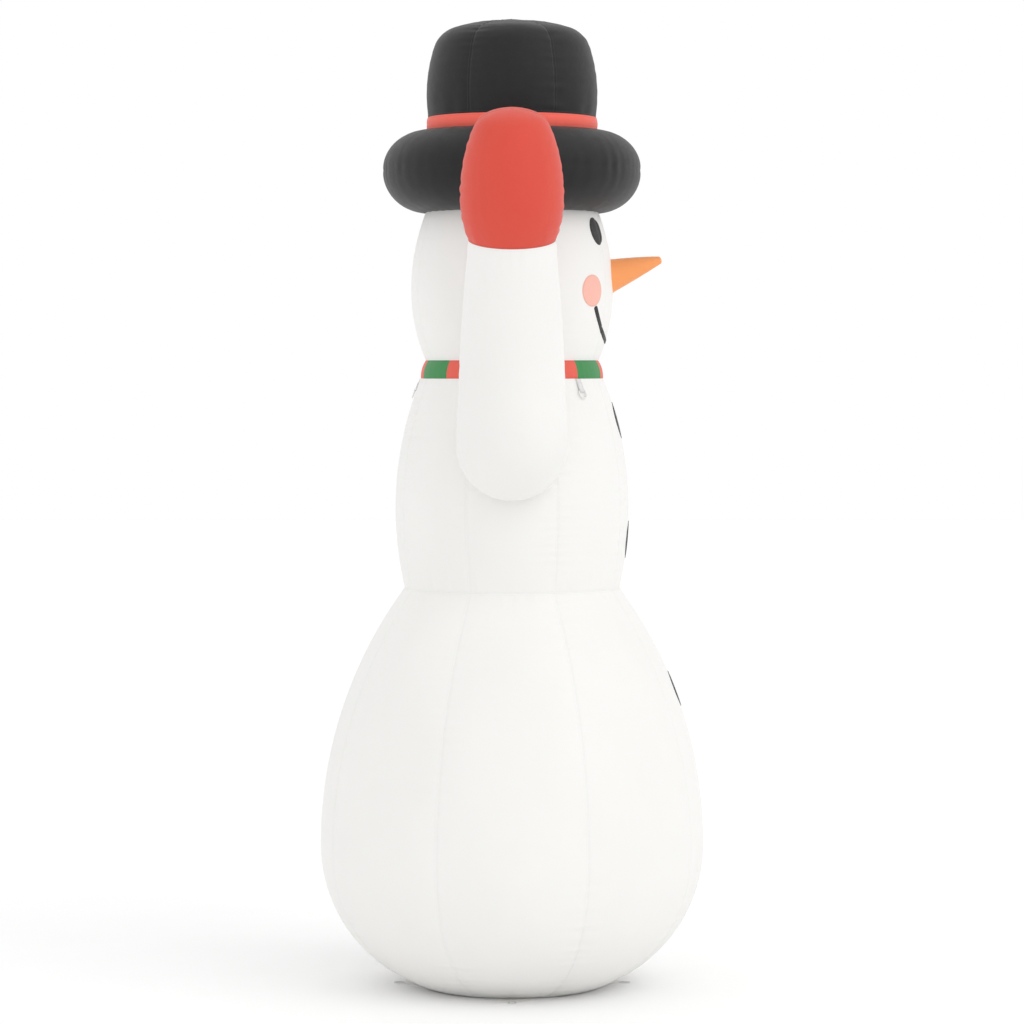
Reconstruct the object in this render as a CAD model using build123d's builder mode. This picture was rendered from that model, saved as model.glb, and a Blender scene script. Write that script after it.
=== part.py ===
"""A 3.7 m inflatable yard snowman: a sewn cloth envelope that a built-in blower keeps full of air.

Frame: millimetres, +Z up, origin at the middle of the base panel's underside. The snowman faces -Y,
so its right hand is on -X and its left hand on +X. The blower and the zip are on the left of its back.
The cloth is drawn as a 2 mm wall, in gores that meet at their seams with a hairline gap.
"""

from build123d import *
from collections import namedtuple
import math
import os

# ---------------------------------------------------------------- driving dimensions
WALL = 2.0  # cloth wall
GORES = 8  # gores in the belly, the torso and the head
HAT_GORES = 6
SEAM_GAP = 0.3  # between neighbouring gores
SPARE = 5.0  # how far a cutting shape runs past what it cuts
CLOTH_GAP = 0.3  # between the cloth and what is sewn or clamped on it

BASE_THICKNESS = 3.0
WAIST_HEIGHT = 1530.0
SCARF_HEIGHT = 2331.0
NECK_HEIGHT = 2400.0
BRIM_HEIGHT = 2964.0
BAND_HEIGHT = 3275.0
CROWN_HEIGHT = 3325.0
TOP_HEIGHT = 3700.0

BELLY_RADIUS = 736.0
BELLY_HEIGHT = 545.0  # of its widest ring
TORSO_RADIUS = 447.0
TORSO_HEIGHT = 1833.0
SCARF_RADIUS = 349.0
HEAD_RADIUS = 386.0
HEAD_HEIGHT = 2668.0
BAND_RADIUS = 327.0
CROWN_RADIUS = 330.0

# Level seams that two sections share: radius and height.
BASE_SEAM = (353.0, BASE_THICKNESS)
WAIST_SEAM = (412.0, WAIST_HEIGHT)
SCARF_SEAM = (348.6, SCARF_HEIGHT)
NECK_SEAM = (330.0, NECK_HEIGHT)
BRIM_SEAM = (330.0, BRIM_HEIGHT)
BAND_SEAM = (323.4, BAND_HEIGHT)
CROWN_SEAM = (322.0, CROWN_HEIGHT)

# Each inflated section bulges between two level seams: an arc below its widest ring and one above.
Bulge = namedtuple("Bulge", "widest height below above low high")


def arc_to(widest, height, seam):
    """Radius of the arc that is upright at the widest ring and passes through a seam."""
    inset, drop = widest - seam[0], height - seam[1]
    return (drop**2 + inset**2) / (2 * inset)


def section(widest, height, low, high):
    """A bulge between two seams, with its widest ring at a height."""
    return Bulge(widest, height, arc_to(widest, height, low), arc_to(widest, height, high), low[1], high[1])


BELLY = section(BELLY_RADIUS, BELLY_HEIGHT, BASE_SEAM, WAIST_SEAM)
TORSO = section(TORSO_RADIUS, TORSO_HEIGHT, WAIST_SEAM, SCARF_SEAM)
SCARF = section(SCARF_RADIUS, SCARF_HEIGHT + 7, SCARF_SEAM, NECK_SEAM)
HEAD = section(HEAD_RADIUS, HEAD_HEIGHT, NECK_SEAM, BRIM_SEAM)
HAT_BAND = section(BAND_RADIUS, 3298.0, BAND_SEAM, CROWN_SEAM)
CROWN = Bulge(CROWN_RADIUS, 3412.0, arc_to(CROWN_RADIUS, 3412.0, CROWN_SEAM), 585.0, CROWN_HEIGHT, 3600.0)
CROWN_DOME = 777.0  # radius of the arc over its top
CROWN_CORNER = 112.0
CROWN_BUTTON = 24.0

BRIM_RADIUS = 494.0
BRIM_MIDDLE = 3125.0  # height of the brim's outer edge

SCARF_STRIPES = 12

SLEEVE_RADIUS = 207.0
SLEEVE_HEIGHT = 2088.0  # of its middle, where it leaves the torso
SLEEVE_STRAIGHT = TORSO_RADIUS + 23  # from the snowman's axis to where the elbow starts
ELBOW_RADIUS = SLEEVE_RADIUS + 33  # of the bend's centre line
ELBOW_PANELS = 3
ARM_LEAN = 15.0  # degrees from upright, outwards
FOREARM_LENGTH = 586.0
WRIST_RADIUS = 158.0
MITTEN_RADIUS = 191.5
MITTEN_WIDEST = 150.0  # along the arm from the wrist
MITTEN_BELOW = arc_to(MITTEN_RADIUS, MITTEN_WIDEST, (WRIST_RADIUS, 0.0))
MITTEN = Bulge(MITTEN_RADIUS, MITTEN_WIDEST, MITTEN_BELOW, 713.0, 0.0, 387.0)
THUMB_RADIUS = 78.0
MITTEN_LENGTH = 477.0
MITTEN_DOME = 240.0
MITTEN_CORNER = 60.0
THUMB_START = 130.0  # from the wrist, on the mitten's axis
THUMB_TURN = 60.0  # degrees from the mitten's axis, towards the head
THUMB_REACH = 330.0  # from the mitten's axis to the thumb's tip

NOSE_RADIUS = 60.0
NOSE_LENGTH = 199.0
NOSE_HEIGHT = 2725.0
NOSE_TILT = 17.6  # degrees upwards
NOSE_TIP = 5.0

PATCH = 1.2  # thickness of an applique patch
EYE_SIZE = (92.0, 108.0)
EYE_HEIGHT = 2888.0
EYE_ANGLE = 26.0  # degrees from straight ahead
CHEEK_DIAMETER = 120.0
CHEEK_HEIGHT = 2662.0
CHEEK_ANGLE = 38.0
MOUTH_HALF = 214.0
MOUTH_CORNER = 2596.0  # height of the corners of the mouth
MOUTH_BOTTOM = 2472.0
MOUTH_WIDTH = 18.0
BUTTON_DIAMETER = 145.0
BUTTON_HEIGHTS = (1140.0, 1714.0, 2171.0)

FLAP_COUNT = 4
FLAP_ROOT = 260.0
FLAP_TIP = 70.0
FLAP_REACH = 58.0  # out from the base panel's edge
FLAP_THICKNESS = 2.0
LOOP_SIZE = (46.0, 34.0)  # radial and sideways
LOOP_SLOT = (26.0, 16.0)
LOOP_THICKNESS = 2.5

TETHER_HEIGHT = 2283.0  # of the rings' hinge bars
TETHER_ANGLES = (-45.0, 45.0, 180.0)  # from straight ahead
TETHER_NAMES = ("front_right", "front_left", "back")
WEBBING_WIDTH = 25.0
WEBBING = 1.5
WEBBING_LENGTH = 50.0
RING_WIRE = 2.5  # radius
RING_SIZE = (34.0, 29.0)
RING_CORNER = 4.0
HINGE_PLAY = 0.05
RING_LIFT = RING_WIRE + HINGE_PLAY + WEBBING + 1.15  # hinge bar's middle above the cloth

SERVICE_ANGLE = 45.0  # azimuth of the blower and the zip, from +X towards +Y
BLOWER_DROP = 20.0  # degrees below the belly's widest ring, round the lower arc
DUCT_RADIUS = 88.0
DUCT_WALL = 4.0
DUCT_LENGTH = 102.0
FLANGE_RADIUS = DUCT_RADIUS + 32
FLANGE = 7.0
GASKET = 2.0
CLAMP = 10.0
SCREW_COUNT = 6
SCREW_CIRCLE = DUCT_RADIUS + 16
GRILLE_RADIUS = SCREW_CIRCLE + 8
SCREW_RADIUS = 2.4
SCREW_HEAD = 4.6
GRILLE = 4.0
GRILLE_BAR = 3.0
MOTOR_RADIUS = 26.0
MOTOR_LENGTH = 44.0
SHAFT_RADIUS = 2.5
HUB_RADIUS = 27.0
BLADES = 7
BLADE_CHORD = 34.0
BLADE = 2.0
BLADE_PITCH = (52.0, 28.0)  # degrees from the fan's plane, at the hub and at the tip
TIP_GAP = 5.0
SOCKET_RADIUS = 5.5

ZIP_LOW = 690.0  # height where the zip starts
ZIP_LENGTH = 420.0
ZIP_SLIT = 24.0
ZIP_TAPE = (5.0, 21.0)  # from the zip's middle to each tape's edges
ZIP_TAPE_THICKNESS = 1.0
ZIP_TEETH = (0.8, 5.0)
ZIP_STOP = 10.0
ZIP_TOOTH_DEPTH = 1.8  # each way from the tape's middle
SLIDER_LENGTH = 32.0
SLIDER_HALF = 9.5
SLIDER_PLATE = 2.0
SLIDER_PLAY = 0.5
BAIL_RADIUS = 1.4
BAIL_LIFT = 3.4
PULL_LENGTH = 46.0
PULL_WIDTH = 13.0
PULL = 2.0

LEAD_RADIUS = 3.0
LEAD_BEND = 60.0
TIE_WIDTH = 12.0
TIE_THICKNESS = 1.5
LAMP_RADIUS = 9.0
LAMP_HOLDER = 24.0
LAMP_BULB = 16.0

BALLAST_RADIUS = 140.0
BALLAST_HEIGHT = 28.0


# ---------------------------------------------------------------- shared geometry
def radius_at(bulge, height, offset=0.0):
    """Distance from the axis to a bulge at a height, offset outwards from its outer face."""
    arc = (bulge.below if height < bulge.height else bulge.above) + offset
    return bulge.widest + offset - arc + math.sqrt(arc**2 - (height - bulge.height) ** 2)


def slope_at(bulge, height):
    """Degrees by which the cloth faces upwards at a height."""
    arc = bulge.below if height < bulge.height else bulge.above
    return math.degrees(math.asin((height - bulge.height) / arc))


def meridian(bulge, offset, low, high):
    """Draws a bulge's outline from one height to another, inside a BuildLine."""
    knots = [low, bulge.height, high] if low < bulge.height < high else [low, high]
    for start, end in zip(knots, knots[1:]):
        heights = (start, (start + end) / 2, end)
        ThreePointArc(*[(radius_at(bulge, h, offset), h) for h in heights])


def layer(bulge, inner, outer, low=None, high=None, plane=Plane.XZ):
    """The half section between two offsets from a bulge's outer face, as a sketch to revolve."""
    low = bulge.low if low is None else low
    high = bulge.high if high is None else high
    with BuildSketch(plane) as section:
        for offset, reach, mode in ((outer, 0, Mode.ADD), (inner, SPARE, Mode.SUBTRACT)):
            bottom, top = low - reach, high + reach
            with BuildLine():
                meridian(bulge, offset, bottom, top)
                Polyline(
                    (radius_at(bulge, top, offset), top),
                    (0, top),
                    (0, bottom),
                    (radius_at(bulge, bottom, offset), bottom),
                )
            make_face(mode=mode)
    return section.sketch


def filled(bulge, offset=0.0, plane=Plane.XZ):
    """The half section of everything inside a bulge, for cutting what stands against it."""
    with BuildSketch(plane) as section:
        with BuildLine():
            meridian(bulge, offset, bulge.low, bulge.high)
            Polyline(
                (radius_at(bulge, bulge.high, offset), bulge.high),
                (0, bulge.high),
                (0, bulge.low),
                (radius_at(bulge, bulge.low, offset), bulge.low),
            )
        make_face()
    return section.sketch


def gores(section, count, first_seam, radius):
    """Cloth gores, each one revolved from the section, that meet at seams a hairline apart."""
    gap = math.degrees(SEAM_GAP / radius)
    with BuildPart() as gore:
        revolve(section, axis=Axis.Z, revolution_arc=360 / count - gap)
    with BuildPart() as ring:
        with PolarLocations(0, count, start_angle=first_seam + gap / 2):
            add(gore.part)
    return ring.part


def cloth_plane(bulge, height, azimuth, offset=0.0):
    """A plane on the cloth: x level, y up the cloth and z out of it. Azimuth is from +X."""
    turn = math.radians(azimuth)
    slope = math.radians(slope_at(bulge, height))
    out = Vector(math.cos(turn), math.sin(turn), 0)
    radius = radius_at(bulge, height)
    normal = Vector(out.X * math.cos(slope), out.Y * math.cos(slope), math.sin(slope))
    origin = Vector(out.X * radius, out.Y * radius, height) + normal * offset
    return Plane(origin=origin, x_dir=(-out.Y, out.X, 0), z_dir=normal)


def save(part, name):
    part.label = name
    export_step(part, f"parts/{name}.step")


os.makedirs("parts", exist_ok=True)
FRONT = -90.0  # azimuth that the snowman faces
ARC = Axis.Z
gore_seam = 360 / GORES / 2
base_radius = radius_at(BELLY, BASE_THICKNESS)

# ---------------------------------------------------------------- base
with BuildPart() as base_panel:
    Cylinder(base_radius, BASE_THICKNESS, align=(Align.CENTER, Align.CENTER, Align.MIN))
save(base_panel.part, "base_panel")

flap_edge = base_radius + FLAP_REACH
with BuildPart() as anchor_flaps:
    with BuildSketch():
        with PolarLocations(0, FLAP_COUNT):
            Polygon(
                (base_radius - 30, -FLAP_ROOT / 2),
                (flap_edge, -FLAP_TIP / 2),
                (flap_edge, FLAP_TIP / 2),
                (base_radius - 30, FLAP_ROOT / 2),
                align=None,
            )
        Circle(base_radius, mode=Mode.SUBTRACT)
    extrude(amount=FLAP_THICKNESS)
save(anchor_flaps.part, "anchor_flaps")

with BuildPart() as anchor_loops:
    with BuildSketch():
        with PolarLocations(flap_edge + LOOP_SIZE[0] / 2, FLAP_COUNT):
            RectangleRounded(*LOOP_SIZE, 8)
            RectangleRounded(*LOOP_SLOT, 6, mode=Mode.SUBTRACT)
        with PolarLocations(flap_edge + 5, FLAP_COUNT):
            Rectangle(10, LOOP_SIZE[1])
    extrude(amount=LOOP_THICKNESS)
save(anchor_loops.part, "anchor_loops")

with BuildPart() as ballast_bag:
    with BuildSketch(Plane.XZ):
        with Locations((BALLAST_RADIUS / 2, BASE_THICKNESS + BALLAST_HEIGHT / 2)):
            Rectangle(BALLAST_RADIUS, BALLAST_HEIGHT)
        fillet(vertices().group_by(Axis.X)[-1], BALLAST_HEIGHT * 0.45)
    revolve(axis=Axis.Z)
save(ballast_bag.part, "ballast_bag")

# ---------------------------------------------------------------- belly, with the blower's hole and the zip's slit
service = Plane(
    origin=(0, 0, 0),
    x_dir=(math.cos(math.radians(SERVICE_ANGLE)), math.sin(math.radians(SERVICE_ANGLE)), 0),
    z_dir=(math.sin(math.radians(SERVICE_ANGLE)), -math.cos(math.radians(SERVICE_ANGLE)), 0),
)
blower_height = BELLY.height - BELLY.below * math.sin(math.radians(BLOWER_DROP))
blower = cloth_plane(BELLY, blower_height, SERVICE_ANGLE)
zip_centre = service.from_local_coords((BELLY.widest - BELLY.above, BELLY.height, 0))
zip_axis = Axis(zip_centre, service.z_dir)  # turning about it runs up the zip
zip_start = cloth_plane(BELLY, ZIP_LOW, SERVICE_ANGLE)
zip_section = Plane(origin=zip_start.origin, x_dir=zip_start.x_dir, z_dir=-zip_start.y_dir)
zip_sweep = math.degrees(ZIP_LENGTH / BELLY.above)
print("blower at", blower.origin, "axis", blower.z_dir)
print("zip hinge", zip_centre, "axis", zip_axis.direction, "sweep", zip_sweep)


def along_zip(sketch, start, length, mode=Mode.ADD):
    """Revolves a cross-section of the zip from a distance up the zip, for a length of it."""
    turned = sketch.rotate(zip_axis, math.degrees(start / BELLY.above))
    revolve(turned, axis=zip_axis, revolution_arc=math.degrees(length / BELLY.above), mode=mode)


def zip_boxes(half_widths, out_low, out_high, both_sides=True):
    """Zip cross-section: rectangles between two distances from its middle and from the cloth."""
    inner, outer = half_widths
    with BuildSketch(zip_section) as section:
        middles = [(inner + outer) / 2]
        if both_sides:
            middles.append(-middles[0])
        for middle in middles:
            with Locations((middle, (out_low + out_high) / 2)):
                Rectangle(outer - inner, out_high - out_low)
    return section.sketch


with BuildPart() as belly_gores:
    add(gores(layer(BELLY, -WALL, 0), GORES, gore_seam, BELLY.widest))
    with Locations(blower.location):
        Cylinder(DUCT_RADIUS + 2, 100, mode=Mode.SUBTRACT)
    slit = zip_boxes((-ZIP_SLIT / 2, ZIP_SLIT / 2), -WALL - SPARE, SPARE, both_sides=False)
    along_zip(slit, 0, ZIP_LENGTH, mode=Mode.SUBTRACT)
    with Locations(blower.location):
        with PolarLocations(SCREW_CIRCLE, SCREW_COUNT, start_angle=60):
            Cylinder(SCREW_RADIUS + 0.2, 100, mode=Mode.SUBTRACT)
        with Locations((0, -SCREW_CIRCLE)):
            Cylinder(SOCKET_RADIUS + 0.2, 100, mode=Mode.SUBTRACT)
save(belly_gores.part, "belly_gores")

# ---------------------------------------------------------------- torso and scarf
with BuildPart() as torso_gores:
    add(gores(layer(TORSO, -WALL, 0), GORES, gore_seam, TORSO.widest))
    with Locations(Location((0, 0, SLEEVE_HEIGHT), (0, 90, 0))):
        Cylinder(SLEEVE_RADIUS - WALL, 2 * TORSO.widest + 2 * SPARE, mode=Mode.SUBTRACT)
save(torso_gores.part, "torso_gores")

stripe = 360 / SCARF_STRIPES
stripe_gap = math.degrees(SEAM_GAP / SCARF.widest)
for name, centre in (("scarf_red", FRONT), ("scarf_green", FRONT + stripe)):
    with BuildPart() as one_stripe:
        revolve(layer(SCARF, -WALL, 0), axis=Axis.Z, revolution_arc=stripe - stripe_gap)
    with BuildPart() as stripes:
        with PolarLocations(0, SCARF_STRIPES // 2, start_angle=centre - (stripe - stripe_gap) / 2):
            add(one_stripe.part)
    save(stripes.part, name)


# ---------------------------------------------------------------- nose, and the head with its air hole
nose_turn = math.radians(NOSE_TILT)
nose_out = Vector(0, -math.cos(nose_turn), math.sin(nose_turn))
nose_root = Vector(0, -(radius_at(HEAD, NOSE_HEIGHT) - 2), NOSE_HEIGHT)
nose_plane = Plane(origin=nose_root, x_dir=Vector(0, nose_out.Z, -nose_out.Y), z_dir=(1, 0, 0))


def cone(offset, tip):
    """The nose's half section: a slightly plump cone, run back into the head."""
    with BuildSketch(nose_plane) as section:
        with BuildLine():
            wall = NOSE_RADIUS + offset
            end = NOSE_LENGTH + offset
            side = ThreePointArc(
                (wall + 11, -40), (wall * 0.58 + tip * 0.5, NOSE_LENGTH / 2), (tip, end - tip)
            )
            ThreePointArc(side @ 1, (tip * math.sqrt(0.5), end - tip * (1 - math.sqrt(0.5))), (0, end))
            Polyline((0, end), (0, -40), side @ 0)
        make_face()
    return section.sketch


nose_axis = Axis(nose_root, nose_out)
with BuildPart() as nose_air:
    revolve(cone(-WALL, NOSE_TIP), axis=nose_axis)
with BuildPart() as nose:
    revolve(cone(0, NOSE_TIP + WALL), axis=nose_axis)
    add(nose_air.part, mode=Mode.SUBTRACT)
    revolve(filled(HEAD, CLOTH_GAP), axis=Axis.Z, mode=Mode.SUBTRACT)
save(nose.part, "nose")

with BuildPart() as head_gores:
    add(gores(layer(HEAD, -WALL, 0), GORES, gore_seam, HEAD.widest))
    with Locations(Location(nose_root, (90 - NOSE_TILT, 0, 0))):
        Cylinder(NOSE_RADIUS - 3 * WALL, 60, mode=Mode.SUBTRACT)
save(head_gores.part, "head_gores")


# ---------------------------------------------------------------- sewn-on face and buttons
def patch(bulge, height, azimuth, outline):
    """A cloth shape that follows a bulge's outside, centred at a height and an azimuth."""
    with BuildPart() as skin:
        revolve(layer(bulge, CLOTH_GAP, CLOTH_GAP + PATCH), axis=Axis.Z)
    with BuildPart() as piece:
        with BuildSketch(cloth_plane(bulge, height, azimuth)):
            add(outline)
        extrude(amount=40, both=True)
        add(skin.part, mode=Mode.INTERSECT)
    return piece.part


for name, height, angle, outline in (
    ("eyes", EYE_HEIGHT, EYE_ANGLE, Ellipse(EYE_SIZE[0] / 2, EYE_SIZE[1] / 2)),
    ("cheeks", CHEEK_HEIGHT, CHEEK_ANGLE, Circle(CHEEK_DIAMETER / 2)),
):
    with BuildPart() as pair:
        for side in (-1, 1):
            add(patch(HEAD, height, FRONT + side * angle, outline))
    save(pair.part, name)

with BuildPart() as face_skin:
    revolve(layer(HEAD, CLOTH_GAP, CLOTH_GAP + PATCH), axis=Axis.Z)
smile_rise = MOUTH_CORNER - MOUTH_BOTTOM
smile_arc = (MOUTH_HALF**2 + smile_rise**2) / (2 * smile_rise)
smile_half = math.degrees(math.asin(MOUTH_HALF / smile_arc))
with BuildPart() as mouth:
    with BuildSketch(Plane.XZ):
        with BuildLine():
            centre = (0, MOUTH_BOTTOM + smile_arc)
            outer = CenterArc(centre, smile_arc + MOUTH_WIDTH / 2, -90 - smile_half, 2 * smile_half)
            inner = CenterArc(centre, smile_arc - MOUTH_WIDTH / 2, -90 - smile_half, 2 * smile_half)
            RadiusArc(outer @ 1, inner @ 1, -MOUTH_WIDTH * 0.501)
            RadiusArc(outer @ 0, inner @ 0, MOUTH_WIDTH * 0.501)
        make_face()
    extrude(amount=HEAD.widest + SPARE)
    add(face_skin.part, mode=Mode.INTERSECT)
save(mouth.part, "mouth")

button = Circle(BUTTON_DIAMETER / 2)
with BuildPart() as buttons:
    for height in BUTTON_HEIGHTS:
        bulge = BELLY if height < WAIST_HEIGHT else TORSO
        add(patch(bulge, height, FRONT, button))
save(buttons.part, "buttons")


# ---------------------------------------------------------------- hat
def brim_half(offset):
    """The brim's rounded section, open towards the snowman's axis."""
    middle = radius_at(HEAD, BRIM_HEIGHT)
    reach = BRIM_RADIUS - middle + offset
    up, down = BAND_HEIGHT - BRIM_MIDDLE + offset, BRIM_MIDDLE - BRIM_HEIGHT + offset
    inside = radius_at(HAT_BAND, BAND_HEIGHT, -WALL) + (0 if offset == 0 else -SPARE)
    with BuildSketch(Plane.XZ) as section:
        with BuildLine():
            upper = EllipticalCenterArc((middle, BRIM_MIDDLE), reach, up, start_angle=0, arc_size=90)
            lower = EllipticalCenterArc((middle, BRIM_MIDDLE), reach, down, start_angle=270, arc_size=90)
            Polyline(upper @ 1, (inside, BRIM_MIDDLE + up), (inside, BRIM_MIDDLE - down), lower @ 0)
        make_face()
    return section.sketch


with BuildPart() as hat_brim:
    with BuildSketch(Plane.XZ):
        add(brim_half(0))
        add(brim_half(-WALL), mode=Mode.SUBTRACT)
        with Locations((BRIM_RADIUS, BRIM_MIDDLE)):
            Rectangle(BRIM_RADIUS / 2, SEAM_GAP, mode=Mode.SUBTRACT)  # the seam round the brim's edge
    revolve(axis=Axis.Z)
save(hat_brim.part, "hat_brim")

with BuildPart() as hat_band:
    revolve(layer(HAT_BAND, -WALL, 0), axis=Axis.Z)
save(hat_band.part, "hat_band")


def domed(bulge, top, dome, corner, offset=0.0, plane=Plane.XZ, reach=0.0):
    """Half section of a bulge closed by a shallow dome, with the corner between them rounded."""
    with BuildSketch(plane) as section:
        with BuildLine():
            bottom, tall = bulge.low - reach, top + SPARE
            meridian(bulge, offset, bottom, tall)
            Polyline(
                (radius_at(bulge, tall, offset), tall),
                (0, tall),
                (0, bottom),
                (radius_at(bulge, bottom, offset), bottom),
            )
        make_face()
        with Locations((0, top - dome)):
            Circle(dome + offset, mode=Mode.INTERSECT)
        rim = section.vertices().filter_by(lambda v: v.X > corner and v.Y > bulge.height + corner)
        fillet(rim, corner + offset)
    return section.sketch


def dome_layer(bulge, top, dome, corner, plane=Plane.XZ):
    """The wall of a domed shape, as a half section."""
    return domed(bulge, top, dome, corner, 0, plane) - domed(bulge, top, dome, corner, -WALL, plane, SPARE)


with BuildPart() as crown_gore:
    hat_gap = math.degrees(SEAM_GAP / CROWN.widest)
    revolve(dome_layer(CROWN, TOP_HEIGHT, CROWN_DOME, CROWN_CORNER), revolution_arc=360 / HAT_GORES - hat_gap)
    with Locations((0, 0, TOP_HEIGHT)):
        Cylinder(CROWN_BUTTON + SEAM_GAP, 4 * SPARE, mode=Mode.SUBTRACT)
with BuildPart() as crown_gores:
    with PolarLocations(0, HAT_GORES, start_angle=30 + hat_gap / 2):
        add(crown_gore.part)
save(crown_gores.part, "hat_crown")

with BuildPart() as crown_button:
    revolve(dome_layer(CROWN, TOP_HEIGHT, CROWN_DOME, CROWN_CORNER))
    with Locations((0, 0, TOP_HEIGHT)):
        Cylinder(CROWN_BUTTON, 4 * SPARE, mode=Mode.INTERSECT)
save(crown_button.part, "crown_button")

# ---------------------------------------------------------------- arms
lean = math.radians(ARM_LEAN)
bend = 90 - ARM_LEAN
elbow_centre = Vector(SLEEVE_STRAIGHT, 0, SLEEVE_HEIGHT + ELBOW_RADIUS)
forearm_up = Vector(math.sin(lean), 0, math.cos(lean))
forearm_out = Vector(math.cos(lean), 0, -math.sin(lean))
elbow_end = elbow_centre + forearm_out * ELBOW_RADIUS
wrist = elbow_end + forearm_up * FOREARM_LENGTH
thumb_turn = math.radians(THUMB_TURN)
thumb_out = forearm_up * math.cos(thumb_turn) - forearm_out * math.sin(thumb_turn)
thumb_root = wrist + forearm_up * THUMB_START
forearm_plane = Plane(origin=elbow_end, x_dir=forearm_out, z_dir=(0, -1, 0))
wrist_plane = Plane(origin=wrist, x_dir=forearm_out, z_dir=(0, -1, 0))


def thumb(offset, root):
    """A round-ended finger from a distance up the thumb's line to its tip."""
    plane = Plane(origin=thumb_root, x_dir=(0, 1, 0), z_dir=thumb_out)
    radius = THUMB_RADIUS + offset
    with BuildPart() as piece:
        with BuildSketch(plane.offset(root)):
            Circle(radius)
        extrude(amount=THUMB_REACH - THUMB_RADIUS - root)
        with Locations(plane.offset(THUMB_REACH - THUMB_RADIUS).location):
            Sphere(radius)
    return piece.part


def seam_sheet(start, way, length):
    """A hairline sheet, front to back, along a line in the arm's middle plane."""
    with BuildPart() as sheet:
        with BuildSketch(Plane(origin=start, x_dir=way, z_dir=(0, -1, 0))):
            Rectangle(length, SEAM_GAP, align=(Align.MIN, Align.CENTER))
        extrude(amount=2 * SLEEVE_RADIUS, both=True)
    return sheet.part


def both_sides(left, name):
    """Saves a left piece and its mirror image."""
    save(left, f"left_{name}")
    with BuildPart() as mirrored:
        mirror(left, about=Plane.YZ)
    save(mirrored.part, f"right_{name}")
    print(name, "solids", len(left.solids()), len(mirrored.part.solids()))


def sleeve_section(plane):
    """The sleeve's wall where it is straight, as an upper and a lower half."""
    with BuildSketch(plane) as halves:
        with Locations((0, SLEEVE_HEIGHT)):
            Circle(SLEEVE_RADIUS)
            Circle(SLEEVE_RADIUS - WALL, mode=Mode.SUBTRACT)
            Rectangle(3 * SLEEVE_RADIUS, SEAM_GAP, mode=Mode.SUBTRACT)
    return halves.sketch


half_gap = SEAM_GAP / 2
elbow_axis = Axis(elbow_centre, (0, -1, 0))
with BuildPart() as elbow:
    revolve(sleeve_section(Plane.YZ.offset(SLEEVE_STRAIGHT)), axis=elbow_axis, revolution_arc=bend)
    for panel in range(ELBOW_PANELS + 1):
        turn = math.radians(bend * panel / ELBOW_PANELS)
        across = Vector(math.sin(turn), 0, -math.cos(turn))
        add(seam_sheet(elbow_centre, across, 2 * ELBOW_RADIUS), mode=Mode.SUBTRACT)
with BuildPart() as upper_arm:
    extrude(
        sleeve_section(Plane.YZ.offset(SLEEVE_STRAIGHT - half_gap)),
        amount=half_gap + TORSO.widest / 2 - SLEEVE_STRAIGHT,
    )
    revolve(filled(TORSO, CLOTH_GAP), axis=Axis.Z, mode=Mode.SUBTRACT)
with BuildPart() as forearm:
    with BuildSketch(forearm_plane):
        with BuildLine():
            Polyline(
                (SLEEVE_RADIUS - WALL, half_gap),
                (SLEEVE_RADIUS, half_gap),
                (WRIST_RADIUS, FOREARM_LENGTH),
                (WRIST_RADIUS - WALL, FOREARM_LENGTH),
                close=True,
            )
        make_face()
    revolve(axis=Axis(elbow_end, forearm_up))
    add(seam_sheet(elbow_end, forearm_up, 2 * FOREARM_LENGTH), mode=Mode.SUBTRACT)
print("arm solids", len(upper_arm.part.solids()), len(elbow.part.solids()), len(forearm.part.solids()))
both_sides(Compound(children=[*upper_arm.part.solids(), *elbow.part.solids(), *forearm.part.solids()]), "sleeve")

mitten_axis = Axis(wrist, forearm_up)
with BuildPart() as left_mitten:
    revolve(dome_layer(MITTEN, MITTEN_LENGTH, MITTEN_DOME, MITTEN_CORNER, wrist_plane), axis=mitten_axis)
    add(thumb(-WALL, 0), mode=Mode.SUBTRACT)
    add(seam_sheet(wrist, forearm_up, 2 * MITTEN_LENGTH), mode=Mode.SUBTRACT)
both_sides(left_mitten.part, "mitten")

with BuildPart() as left_thumb:
    add(thumb(0, 0))
    add(thumb(-WALL, -SPARE), mode=Mode.SUBTRACT)
    solid_mitten = domed(MITTEN, MITTEN_LENGTH, MITTEN_DOME, MITTEN_CORNER, CLOTH_GAP, wrist_plane)
    revolve(solid_mitten, axis=mitten_axis, mode=Mode.SUBTRACT)
    add(seam_sheet(thumb_root, thumb_out, 2 * THUMB_REACH), mode=Mode.SUBTRACT)
both_sides(left_thumb.part, "thumb")

# ---------------------------------------------------------------- guy-rope rings under the scarf
tabs, rings = [], []
eye_hole = RING_WIRE + HINGE_PLAY
with BuildPart() as tether_tabs:
    for turn in TETHER_ANGLES:
        place = cloth_plane(TORSO, TETHER_HEIGHT, FRONT + turn)
        with BuildSketch(Plane(place.origin, x_dir=place.y_dir, z_dir=place.x_dir)):
            with Locations((0, RING_LIFT)):
                Circle(eye_hole + WEBBING)
            with Locations((WEBBING_LENGTH / 2, RING_LIFT - eye_hole - WEBBING / 2)):
                Rectangle(WEBBING_LENGTH, WEBBING)
            with Locations((0, RING_LIFT)):
                Circle(eye_hole, mode=Mode.SUBTRACT)
        extrude(amount=WEBBING_WIDTH / 2, both=True)
save(tether_tabs.part, "tether_tabs")

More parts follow.
